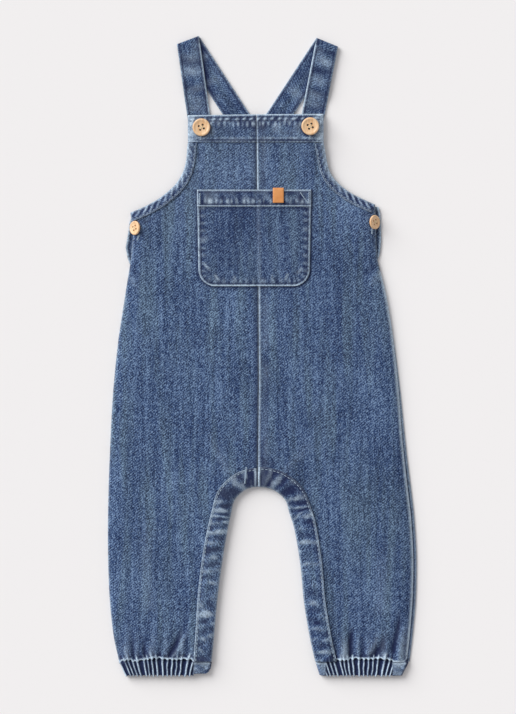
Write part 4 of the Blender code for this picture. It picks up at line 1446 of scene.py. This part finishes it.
@dataclass
class Strap:
    """One strap: a doubled strip, folded flat along a slanting line at the shoulder."""

    shop: Workshop
    side: Side
    route: StrapRoute
    # Where the strap was creased across: y on the front arm, width, height, deep
    dents: list[tuple[float, float, float, float]]
    shade: float
    width: float = 19.4
    wall: float = 1.4
    fold_radius: float = 1.0
    row_height: float = 0.9
    columns: int = 24
    ground: float = 0.7
    # How far the cloth stays clear of the surface
    clearance: float = 0.03
    step: float = 1.3

    def __post_init__(self) -> None:
        """Works out the two arms' directions and the fold's slant."""
        route = self.route
        along = np.array([route.fold_x - route.foot_x, route.fold_y - route.foot_y])
        self.front_length = float(np.hypot(*along))
        self.along = along / self.front_length
        tilt = math.radians(route.back_tilt)
        out = self.along - np.array([-self.side.value * math.sin(tilt), -math.cos(tilt)])
        self.out = out / np.hypot(*out)
        self.bend = math.pi * self.fold_radius
        ax, ay = self.along
        ox, oy = self.out
        self.slant = -(ay * ox - ax * oy) / (ax * ox + ay * oy)
        front = np.linspace(0.0, self.front_length, round(self.front_length / self.row_height))
        bend = self.front_length + self.bend * np.arange(1, 9) / 8
        back = np.linspace(0.0, route.back_length, round(route.back_length / self.row_height))
        self.stops = np.concatenate([front, bend, bend[-1] + back[1:]])

    def inner_edge(self) -> Array:
        """The front arm's inner edge on the plan."""
        foot = np.array([self.route.foot_x, self.route.foot_y])
        reach = self.width / 2 * self.side.value
        edge = foot + np.array([-self.along[1], self.along[0]]) * reach
        return np.array([edge, edge + self.along * self.front_length])

    def heights(self, y: Array) -> tuple[Array, Array]:
        """The two arms' middle heights: the front one over the back one at the shoulder.

        Args:
            y: places along the garment.

        Returns:
            The front arm's and the back arm's heights.
        """
        front = self.ground + 2 * self.fold_radius * ramp(y, 483.0, 499.5)
        back = self.ground + self.step * ramp(-y, -455.0, -438.5)
        if self.side is Side.RIGHT:
            back += 1.7 * ramp(-y, -483.0, -472.0) * ramp(y, 421.0, 432.0)
        return front, back

    def lay(self, across: Array,
            station: Array) -> tuple[Array, Array, Array]:
        """Where a point of the flat strip lies on the folded strap.

        Args:
            across: the distance from the strip's middle, to its right going up the front.
            station: the distance along the strip from its foot.

        Returns:
            The point's x, y and height.
        """
        reach = np.where(station < self.front_length, self.front_length, self.route.back_length)
        nearness = np.maximum(0.0, 1.0 - np.abs(station - self.front_length) / reach)
        station = station + across * self.slant * nearness
        x = self.route.foot_x + self.along[0] * station + self.along[1] * across
        y = self.route.foot_y + self.along[1] * station - self.along[0] * across
        beyond = (x - self.route.fold_x) * self.out[0] + (y - self.route.fold_y) * self.out[1]
        turn = np.clip(beyond / self.fold_radius, 0.0, np.pi)
        rolled = np.where(beyond < self.bend, self.fold_radius * np.sin(turn) - beyond,
                          self.bend - 2 * beyond)
        moved = np.where(beyond > 0.0, rolled, 0.0)
        x, y = x + self.out[0] * moved, y + self.out[1] * moved
        front, back = self.heights(y)
        bent = self.ground + self.fold_radius * (1 + np.cos(turn))
        return x, y, np.select([beyond <= 0.0, beyond < self.bend], [front, bent], back)

    def build(self) -> None:
        shares = np.arange(len(self.stops)) / (len(self.stops) - 1)

        def shape(across: Array, along: Array) -> Shaped:
            """The strap's middle."""
            off = (across - 0.5) * self.width
            station = np.interp(along, shares, self.stops)
            x, y, z = self.lay(off, station)
            on_front = station < self.front_length - 4
            inner = -off * self.side.value
            edge = self.width / 2 - np.abs(off)
            z = z - 0.35 * (1.0 - ramp(edge, 0.0, 2.2)) * np.where(on_front, 1.0, 0.3)
            outer_worn = np.where(on_front, 0.6, 0.1)
            wear = 0.40 * bell(edge, 0.7) + outer_worn * bell(self.width / 2 - inner, 1.0)
            deep = 0.80 * bell(edge - 2.0, 0.75)
            patch = mottle(off * 0.6 + 40, station, (9.0, 7.5), 101 + self.side.value)
            patched = np.where(on_front, 0.7, 1.3)
            deep += 0.42 * np.maximum(-patch, 0) * bell(off, 9.0) * patched
            wear += 0.22 * np.maximum(patch, 0) * bell(off, 8.0)
            for place, width, height, dark in self.dents:
                lean = y + 0.12 * off + 1.5 * wander(off + 60, 7.0, 105)
                here = bell(lean - place, width) * on_front
                z += height * here * ramp(edge, 0.5, 3.0)
                deep += dark * here * ramp(edge, 0.5, 2.5)
                wear += 0.15 * bell(lean - place + 9.0, 3.4) * on_front * bell(off, 7.0)
            z = np.maximum(z, self.wall / 2 + self.clearance)
            # The back arm's shade where it leaves the front arm
            aside = measure_to(x, y, self.inner_edge())[0]
            shade = np.where(on_front, 0.0, self.shade)
            deep += shade * (bell(aside, 4.4) + 0.6 * bell(aside, 1.6))
            return Shaped(x, y, z, wear, deep, (off, station))

        strap = self.shop.cloth(f"strap_{self.side.word}", self.columns, len(self.stops) - 1, shape,
                                self.wall, offset=0.0)

    def seam_line(self, inset: float, sign: float) -> tuple[Array, Array]:
        """A line near one of the strap's edges, up the front arm.

        Args:
            inset: how far inside the edge.
            sign: 1 for the strip's right edge, -1 for its left.

        Returns:
            The line's x, y and outer face's height, one row a point, on the front arm and the back.
        """
        front = np.arange(2.0, self.front_length - 5.0, 0.8)
        back = np.arange(self.front_length + self.bend + 6.0, self.stops[-1] - 2.0, 0.8)
        lines = []
        for stations in (front, back):
            off = np.full(stations.shape, sign * (self.width / 2 - inset))
            x, y, z = self.lay(off, stations)
            lines.append(np.stack([x, y, z + self.wall / 2], axis=1))
        return lines[0], lines[1]


STRAPS = {
    Side.LEFT: StrapRoute(-46.3, 448.0, -59.4, 540.0, 33.1, 145.0),
    Side.RIGHT: StrapRoute(41.4, 450.0, 58.6, 538.2, 33.4, 143.0),
}
DENTS = {
    Side.LEFT: [(535.0, 2.4, 0.1, 0.35), (522.5, 4.2, -0.4, 0.75), (499.5, 3.4, -0.35, 0.7),
                (482.0, 2.2, -0.2, 0.4)],
    Side.RIGHT: [(531.0, 3.2, -0.25, 0.6), (514.0, 3.8, -0.4, 0.7), (496.0, 3.0, -0.3, 0.6),
                 (482.5, 2.4, -0.2, 0.5)],
}
STRAP_SHADE = {Side.LEFT: 0.9, Side.RIGHT: 0.4}


@dataclass
class Pocket:
    """The bib's patch pocket with its mouth hem and bare leather tab."""

    shop: Workshop
    surface: FrontSurface
    centre: float = -3.3
    top: float = 414.0
    foot: float = 332.2
    half_top: float = 48.4
    half_foot: float = 47.2
    corner: float = 14.0
    hem_foot: float = 399.8
    # The pocket's cloth kept a little more of its dye than the bib
    unfaded: float = 0.21
    tab_x: tuple[float, float] = (12.6, 21.9)
    tab_y: tuple[float, float] = (402.8, 415.6)
    # Past here the tab lies level, on its way over the hem
    tab_fold: float = 412.0

    def rows(self, spacing: float = 1.2) -> Array:
        """The pocket's half widths down its height, with round lower corners."""
        corner_y = self.foot + self.corner
        sides = np.linspace(self.top, corner_y, math.ceil((self.top - corner_y) / spacing))
        turn = 0.5 * np.pi * np.arange(1, 17) / 16
        halves = np.interp(sides, (corner_y, self.top), (self.half_foot, self.half_top))
        return np.vstack([np.stack([sides, halves], axis=1), np.stack([
            corner_y - self.corner * np.sin(turn),
            self.half_foot - self.corner * (1 - np.cos(turn))], axis=1)])

    def outline(self, inset: float = 0.0) -> Array:
        """The sewn sides and foot, from the left of the mouth round to its right."""
        rows = self.rows()
        y = rows[:, 0]
        left = np.stack([self.centre - rows[:, 1], y], axis=1)
        right = np.stack([self.centre + rows[:, 1], y], axis=1)[::-1]
        path = Path(np.vstack([left, right]))
        places = np.linspace(0.0, path.length, 260)
        return np.stack(path.at(places, inset), axis=1)

    def build(self) -> None:
        pocket, hem, tab = self.patch(), self.mouth(), self.tab()

    def patch(self) -> Object:
        """The pocket's cloth, worn along its edge and puckered at its lower corners."""
        rows = self.rows()
        edge = self.outline()
        left = np.stack([self.centre - rows[:, 1], rows[:, 0]], axis=1)
        right = np.stack([self.centre + rows[:, 1], rows[:, 0]], axis=1)
        at = grid_of(left, right)
        creases = [
            Crease([(-42, 345), (-37, 339)], 1.5, -0.3, 0.5),
            Crease([(-45, 350), (-40, 345)], 1.6, 0.3, 0.45),
            Crease([(-36, 341), (-32, 335)], 1.7, 0.3, 0.45),
            Crease([(-30, 339), (-27, 334)], 1.4, -0.2, 0.3),
            Crease([(37, 347), (32, 341)], 1.7, 0.3, 0.35),
            Crease([(33, 344), (28, 338)], 1.5, -0.3, 0.35),
            Crease([(25, 342), (22, 335)], 1.5, 0.25, 0.4),
            Crease([(18, 340), (15, 335)], 1.6, -0.2, 0.3),
            Crease([(12, 341), (11, 334)], 1.3, 0.2, 0.25),
            Crease([(-20, 340), (-18, 334)], 1.6, 0.2, 0.3),
            Crease([(-48, 372), (-40, 374)], 3.0, 0.2, 0.14),
            Crease([(-48, 362), (-42, 363)], 2.4, -0.2, 0.3),
        ]

        def shape(across: Array, along: Array) -> Shaped:
            """The pocket's outer face."""
            x, y = at(across, along)
            off, round_it = measure_to(x, y, edge)
            fold, wear, deep = press(creases, x, y)
            puff = ramp(off, 1.5, 10.0)
            z = self.surface.layer_height(x, y, 1.0) + 0.35 * puff + fold
            z += 0.12 * bell(off - 0.6, 0.8) - 0.30 * bell(off - 2.3, 0.6)
            pucker = ripple(round_it + 2.2 * wander(round_it, 9.0, 111), 6.8)
            z += 0.12 * pucker * bell(off - 3.2, 3.0) * (y < self.hem_foot)
            bright = 0.80 + 0.2 * wander(round_it, 5.0, 112)
            wear += 0.98 * bright * bell(off - 0.2, 0.9)
            wear += 0.22 * np.maximum(pucker, 0) * bell(off - 4.0, 2.4)
            wear += 0.10 * bell(x - self.surface.layout.seam_x(y) - 1.0, 1.6)
            deep += 0.75 * bell(off - 2.1, 0.8) + self.unfaded * ramp(off, 1.0, 4.0)
            deep += 0.40 * np.maximum(-pucker, 0) * bell(off - 3.8, 2.4)
            deep += 0.50 * bell(y - self.hem_foot + 1.6, 1.4)
            return Shaped(x, y, z, wear, deep)

        return self.shop.cloth("bib_pocket", 84, len(rows) - 1, shape)

    def mouth(self) -> Object:
        """The mouth's turned hem, mottled between its folded edges."""
        def shape(across: Array, along: Array) -> Shaped:
            """The hem's outer face."""
            x = self.centre + self.half_top * (2 * across - 1)
            y = self.hem_foot + (self.top - self.hem_foot) * along
            up, down = y - self.hem_foot, self.top - y
            ends = self.half_top - np.abs(x - self.centre)
            phase = ripple(x + 2.6 * wander(x + 800, 9.0, 121) + 0.4 * up, 8.5)
            patch = mottle(x, y, (6.0, 4.2), 122)
            zone = bell(up - 5.5, 6.5)
            z = self.surface.layer_height(x, y, 2.0) + 0.16 * phase * zone
            z += 0.12 * bell(down, 1.1) - 0.28 * bell(up - 1.6, 0.6)
            teeth = ripple(x + 1.4 * wander(x + 850, 4.0, 123), 4.6)
            wear = 0.75 * bell(down - 0.2, 0.75) + 0.80 * bell(up - 0.1, 0.75)
            wear += 0.75 * bell(ends, 0.8)
            wear += zone * (0.10 * np.maximum(phase, 0) + 0.22 * np.maximum(patch, 0))
            wear += 0.46 * ramp(teeth, 0.0, 0.8) * bell(up - 4.6, 1.9) * (0.8 + 0.6 * patch)
            deep = 0.22 + zone * (0.40 * np.maximum(-phase, 0) + 0.60 * np.maximum(-patch, 0))
            deep += 0.60 * bell(up - 2.0, 0.8) + 0.6 * bell(down - 2.2, 0.9)
            deep += 0.85 * bell(ends - 8.5, 2.2) * bell(up - 7.0, 6.0)
            return Shaped(x, y, z, wear, deep)

        return self.shop.cloth("pocket_hem", 96, 20, shape)

    def tab(self) -> Object:
        """The small leather tab over the mouth, folded over the hem's top edge."""
        def shape(across: Array, along: Array) -> Shaped:
            """The tab's outer face."""
            (left, right), (foot, top) = self.tab_x, self.tab_y
            x, y = left + (right - left) * across, foot + (top - foot) * along
            edge = np.minimum(across, 1 - across) * (right - left)
            z = self.surface.layer_height(x, np.minimum(y, self.tab_fold), 3.0)
            z += 0.2 * ramp(edge, 0.0, 1.4) - 0.5 * bell(top - y, 1.0) - 0.15 * bell(y - foot, 0.9)
            plain = np.zeros(x.shape)
            return Shaped(x, y, z, plain, plain)

        return self.shop.cloth("pocket_tab", 14, 18, shape, 1.1, finish=self.shop.leather,
                               slot=Slot.LEATHER)


@dataclass
class Buttons:
    """The four turned wooden buttons, each sewn on with a cross of thread."""

    shop: Workshop
    bib_z: float = 9.8
    side_z: float = 6.45
    rim_share: float = 0.17
    dish: float = 0.55
    hole_radius: float = 0.95
    hole_spacing: float = 3.3
    hole_turn: float = 20.0
    # The button's radius that the holes' sizes are for
    hole_radius_for: float = 7.5
    steps: int = 48

    def build(self) -> None:
        """Builds the buttons and their thread."""
        for side in Side:
            for kind, button, z in (("bib", BIB_BUTTONS[side], self.bib_z),
                                    ("side", SIDE_BUTTONS[side], self.side_z)):
                tilt = math.copysign(math.radians(button.tilt), button.x)
                middle = Vector([size * MM for size in (button.x - MIDDLE_X,
                                                        button.y - MIDDLE_Y, z)])
                place = (Matrix.Translation(middle) @ Matrix.Rotation(tilt, 4, "Y")
                         @ Matrix.Scale(MM, 4))
                name = f"{kind}_button_{side.word}"
                self.disc(name, button, place)
                self.cross(f"{name}_thread", button, place)

    def hole_scale(self, button: ButtonPlace) -> float:
        """How much smaller a smaller button's holes are."""
        return (button.radius / self.hole_radius_for) ** 0.5

    def holes(self, button: ButtonPlace) -> list[Vector]:
        """The middles of the four holes."""
        away = self.hole_spacing / math.sqrt(2) * self.hole_scale(button)
        turns = (math.radians(self.hole_turn + 45.0 + 90.0 * k) for k in range(4))
        return [Vector((away * math.cos(turn), away * math.sin(turn), 0.0)) for turn in turns]

    def disc(self, name: str, button: ButtonPlace, place: Matrix) -> None:
        """A button: a drilled web inside a turned rim."""
        half = button.thickness / 2
        web = button.radius * (1 - 2 * self.rim_share)
        hole = self.hole_radius * self.hole_scale(button)
        body = bmesh.new()
        rings = [(Vector(), web, self.steps), *((at, hole, 16) for at in self.holes(button))]
        for middle, radius, segments in rings:
            middle = middle + Vector((0, 0, half - self.dish))
            bmesh.ops.create_circle(body, cap_ends=False, segments=segments, radius=radius,
                                    matrix=Matrix.Translation(middle))
        bmesh.ops.triangle_fill(body, edges=body.edges, use_beauty=True, normal=(0.0, 0.0, 1.0))
        top = list(body.faces)
        grown = bmesh.ops.extrude_face_region(body, geom=top, use_keep_orig=True)
        lower = [item for item in grown["geom"] if isinstance(item, bmesh.types.BMVert)]
        bmesh.ops.translate(body, verts=lower, vec=(0.0, 0.0, self.dish - button.thickness))
        walls = [face for face in body.faces if abs(face.normal.z) < 0.5
                 and face.calc_center_median().xy.length > 0.9 * web]
        bmesh.ops.delete(body, geom=walls, context="FACES_ONLY")
        r, rim = button.radius, button.radius * self.rim_share
        profile = [(web, half - self.dish), (web + 0.45 * rim, half - 0.5 * self.dish),
                   (web + 0.85 * rim, half - 0.04), (r - 0.85 * rim, half),
                   (r - 0.45 * rim, half - 0.08), (r - 0.16 * rim, half - 0.32),
                   (r, half - 0.75), (r, 0.45 - half), (r - 0.3 * rim, 0.12 - half),
                   (r - 0.8 * rim, -half), (web, -half)]
        points = [body.verts.new((radius, 0.0, height)) for radius, height in profile]
        edges = [body.edges.new(pair) for pair in zip(points, points[1:])]
        bmesh.ops.spin(body, geom=points + edges, cent=(0, 0, 0), axis=(0, 0, 1), dvec=(0, 0, 0),
                       angle=math.tau, steps=self.steps, use_merge=True, use_duplicate=False)
        bmesh.ops.remove_doubles(body, verts=body.verts, dist=0.01)
        bmesh.ops.recalc_face_normals(body, faces=body.faces)
        bmesh.ops.transform(body, matrix=place, verts=body.verts)
        mesh = mesh_of(body, name)
        self.shop.hand_over(mesh, name, self.shop.wood, Slot.WOOD)
        mesh.set_sharp_from_angle(angle=math.radians(50))

    def cross(self, name: str, button: ButtonPlace, place: Matrix) -> None:
        """Two crossed bars of thread between the holes."""
        half = button.thickness / 2
        holes = self.holes(button)
        bars = bmesh.new()
        for number, (a, b) in enumerate(((holes[0], holes[2]), (holes[1], holes[3]))):
            run = b - a
            for aside in (-0.16, 0.16):
                turn = Matrix.Rotation(math.atan2(run.y, run.x), 4, "Z")
                height = half - self.dish + 0.1 + 0.25 * number
                middle = (a + b) / 2 + turn @ Vector((0, aside, height))
                shape = Matrix.Diagonal((0.45 * run.length, 0.17, 0.2, 1.0))
                bmesh.ops.create_uvsphere(bars, u_segments=10, v_segments=8, radius=1.0,
                                          matrix=Matrix.Translation(middle) @ turn @ shape)
        bmesh.ops.transform(bars, matrix=place, verts=bars.verts)
        self.shop.hand_over(mesh_of(bars, name), name, self.shop.ecru_thread, Slot.THREAD, False)


class Stitches:
    """Rows of separate stitches, each a short grain of thread sunk in the cloth."""

    def __init__(self, shop: Workshop, name: str, finish: Material) -> None:
        """Starts an empty piece of sewing."""
        self.shop, self.name, self.finish = shop, name, finish
        self.sewing = bmesh.new()

    def stitch(self, a: Vector, b: Vector, width: float) -> None:
        """Adds one stitch between two points, in mm on the layout."""
        run = b - a
        middle = (a + b) / 2 - Vector((MIDDLE_X, MIDDLE_Y, 0.0))
        turn = run.to_track_quat("X", "Z").to_matrix().to_4x4()
        size = Matrix.Diagonal((run.length / 2 * MM, width / 2 * MM, width / 2 * MM, 1.0))
        bmesh.ops.create_uvsphere(self.sewing, u_segments=6, v_segments=4, radius=1.0,
                                  matrix=Matrix.Translation(middle * MM) @ turn @ size)

    def row(self, line: Array, pitch: float = 3.4, share: float = 0.78, width: float = 0.62,
            sink: float = 0.05) -> None:
        """Adds a row of stitches.

        Args:
            line: the row's points with their heights.
            pitch: the distance from one stitch to the next.
            share: how much of the pitch the thread shows.
            width: the thread's width.
            sink: how far the thread's middle lies below the cloth's face.
        """
        stations = stations_of(line[:, :2])
        starts = np.arange(0.5 * pitch * (1 - share), stations[-1] - pitch * share, pitch)
        for start in starts:
            ends = []
            for place in (start, start + pitch * share):
                x, y, z = (float(np.interp(place, stations, column)) for column in line.T)
                ends.append(Vector((x, y, z - sink)))
            self.stitch(ends[0], ends[1], width)

    def satin(self, line: Array, width: float, pitch: float = 0.85,
              thread: float = 0.7) -> None:
        """Adds dense stitches across a line, as on a bar tack or a buttonhole.

        Args:
            line: the bar's points with their heights.
            width: the bar's width.
            pitch: the distance between stitches.
            thread: the thread's width.
        """
        path = Path(line[:, :2])
        for number, place in enumerate(np.arange(0.0, path.length + 0.01, pitch)):
            height = float(np.interp(place, path.stations, line[:, 2]))
            lean = 0.35 * pitch * (1 if number % 2 else -1)
            ends = []
            for sign in (-1.0, 1.0):
                x, y = path.at(np.array([place + sign * lean]), np.array([sign * width / 2]))
                ends.append(Vector((float(x[0]), float(y[0]), height + 0.05)))
            self.stitch(ends[0], ends[1], thread)

    def finish_piece(self) -> None:
        """Hands over the sewing as one piece."""
        mesh = mesh_of(self.sewing, self.name)
        self.shop.hand_over(mesh, self.name, self.finish, Slot.THREAD, False)


@dataclass
class Sewing:
    """All the rows of stitching, bar tacks and buttonholes."""

    shop: Workshop
    front: Front
    pocket: Pocket
    straps: list[Strap]

    def on_front(self, points: Array, layers: float | Array) -> Array:
        """Points on the plan with the height of cloth laid on the front."""
        x, y = points.T
        return np.stack([x, y, self.front.surface.layer_height(x, y, layers)], axis=1)

    def build(self) -> None:
        """Sews everything."""
        self.bib()
        self.armholes()
        self.bands()
        self.pockets()
        self.strap_edges()
        self.bars()

    def bib(self) -> None:
        """Two rows below the bib's top edge and one along the hem's foot."""
        rows = Stitches(self.shop, "bib_stitching", self.shop.thread)
        for down in (2.5, 5.1, 23.0):
            for low, high in ((-58.8, -1.9), (-0.9, 55.0)):
                x = np.linspace(low, high, 80)
                top = np.interp(x, (-59.6, -1.5, 55.6), (477.4, 478.2, 478.6))
                rows.row(self.on_front(np.stack([x, top - down], axis=1), 1.0))
        rows.finish_piece()

    def armholes(self) -> None:
        """One row along each armhole's hem."""
        rows = Stitches(self.shop, "armhole_stitching", self.shop.pale_thread)
        for side in Side:
            edge = Path(self.front.layout.armhole_edge(side), turn=float(side.value))
            places = np.linspace(2.0, edge.length - 2.0, 120)
            line = np.stack(edge.at(places, self.front.armhole_width - 1.3), axis=1)
            rows.row(self.on_front(line, self.front.lift), pitch=3.2, width=0.5, sink=0.12)
        rows.finish_piece()

    def bands(self) -> None:
        """One row along each inseam band's outer line."""
        rows = Stitches(self.shop, "inseam_stitching", self.shop.pale_thread)
        for side in Side:
            near, far = self.front.band_lines(side)
            line = far + (near - far) * (1.7 / np.hypot(*(near - far).T))[:, None]
            rows.row(self.on_front(line, self.front.lift), sink=0.15)
        rows.finish_piece()

    def pockets(self) -> None:
        """One row round the pocket and one along its hem."""
        rows = Stitches(self.shop, "pocket_stitching", self.shop.thread)
        line = self.pocket.outline(2.2)
        rows.row(self.on_front(line, np.where(line[:, 1] > self.pocket.hem_foot, 2.0, 1.2)),
                 pitch=3.2)
        x = np.linspace(self.pocket.centre - 46.5, self.pocket.centre + 46.5, 120)
        hem = np.stack([x, np.full(x.shape, self.pocket.hem_foot + 1.6)], axis=1)
        rows.row(self.on_front(hem, 2.0), pitch=3.2)
        rows.finish_piece()

    def strap_edges(self) -> None:
        """One row along each edge of the straps."""
        rows = Stitches(self.shop, "strap_stitching", self.shop.thread)
        for strap in self.straps:
            for sign in (-1.0, 1.0):
                for line in strap.seam_line(1.9, sign):
                    rows.row(line)
        rows.finish_piece()

    def bars(self) -> None:
        """The bar tacks and the satin-stitched ends of the buttonholes."""
        rows = Stitches(self.shop, "bar_tacks", self.shop.pale_thread)
        lift, corner = self.front.lift, 2.1
        for line, width, layers in (
                ([(-11.2, 164.7), (-9.8, 178.8)], 1.7, lift),
                ([(-49.5, 402.0), (-49.3, 411.0)], 1.4, corner),
                ([(36.0, 411.5), (42.5, 402.5)], 1.3, corner),
                ([(43.2, 402.5), (43.4, 412.0)], 1.4, corner),
                ([(-48.6, 460.0), (-48.6, 456.2)], 2.2, 1.1),
                ([(44.0, 460.4), (44.0, 456.4)], 2.2, 1.1),
                ([(-102.6, 371.2), (-101.0, 375.4)], 2.0, 0.15),
                ([(96.9, 381.0), (96.7, 376.6)], 2.0, 0.15)):
            ends = np.array(line)
            points = ends[0] + (ends[1] - ends[0]) * np.linspace(0, 1, 12)[:, None]
            rows.satin(self.on_front(points, layers), width)
        rows.finish_piece()


@dataclass
class Studio:
    """A plain pale surface under soft light, seen from straight above."""

    distance: float = 2.4
    view_long: float = 0.6069
    plane_z: float = 0.004
    shift_x: float = -3.6
    shift_y: float = -0.8
    sensor: float = 36.0
    floor_half: float = 6.0
    # The surface lies just under the cloth, in mm
    floor_z: float = -0.2
    floor_colour: str = "#f1efee"
    sky_colour: str = "#fdfcff"
    # Straight down is 0, and 90 is level with the surface
    key_lean: float = 60.0
    key_from: float = 142.0
    key_spread: float = 46.0
    key_strength: float = 3.25
    sky: float = 0.49

    def build(self) -> None:
        """Sets out the surface, the lights and the camera."""
        self.floor()
        self.lights()
        self.camera()

    def floor(self) -> None:
        """A seamless matte paper surface."""
        plane = bmesh.new()
        bmesh.ops.create_grid(plane, x_segments=2, y_segments=2, size=self.floor_half)
        bmesh.ops.translate(plane, verts=plane.verts, vec=(0.0, 0.0, self.floor_z * MM))
        mesh = mesh_of(plane, "floor")
        material, tree = new_material("matte_studio_paper")
        fibre = noise(tree, object_place(tree), 300.0, 2.0)
        finish_shader(tree, linear(self.floor_colour), fibre, (0.05, 0.1), {"Roughness": 0.95})
        mesh.materials.append(material)
        floor = add_object("floor", mesh)

    def lights(self) -> None:
        """A wide soft light from the upper left, with even light from all round."""
        lamp = bpy.data.lights.new("key", "SUN")
        lamp.energy, lamp.angle = self.key_strength, math.radians(self.key_spread)
        key = add_object("key", lamp)
        lean, turn = math.radians(self.key_lean), math.radians(self.key_from)
        key.location = (math.sin(lean) * math.cos(turn), math.sin(lean) * math.sin(turn),
                        math.cos(lean))
        key.rotation_euler = (-key.location).to_track_quat("-Z", "Y").to_euler()
        world = bpy.data.worlds.new("soft_room")
        world.use_nodes = True
        sky = world.node_tree.nodes["Background"]
        sky.inputs["Color"].default_value = linear(self.sky_colour)
        sky.inputs["Strength"].default_value = self.sky
        bpy.context.scene.world = world

    def camera(self) -> None:
        """A long lens straight above."""
        lens = bpy.data.cameras.new("camera")
        lens.sensor_width = self.sensor
        lens.lens = self.sensor * self.distance / self.view_long
        lens.clip_start, lens.clip_end = 0.05, 50.0
        camera = add_object("camera", lens)
        camera.location = (self.shift_x * MM, self.shift_y * MM, self.plane_z + self.distance)
        bpy.context.scene.camera = camera
        bpy.context.scene.view_settings.view_transform = "Standard"


def main() -> None:
    """Builds and dresses the garment, piece by piece."""
    logging.basicConfig(level=logging.INFO, format="%(message)s")
    shop = Workshop()
    surface = FrontSurface(Layout())
    front = Front(shop, surface)
    pocket = Pocket(shop, surface)
    # The pocket's painted contact shadow on the front, just outside its edge
    surface.sheltered.append(pocket.outline(-0.9))
    Back(shop, surface.layout).build()
    front.build()
    Cuffs(shop).build()
    straps = [Strap(shop, side, STRAPS[side], DENTS[side], STRAP_SHADE[side]) for side in Side]
    for strap in straps:
        strap.build()
    surface.sheltered.clear()
    pocket.build()
    Buttons(shop).build()
    Sewing(shop, front, pocket, straps).build()
    Studio().build()


if __name__ == "__main__":
    main()
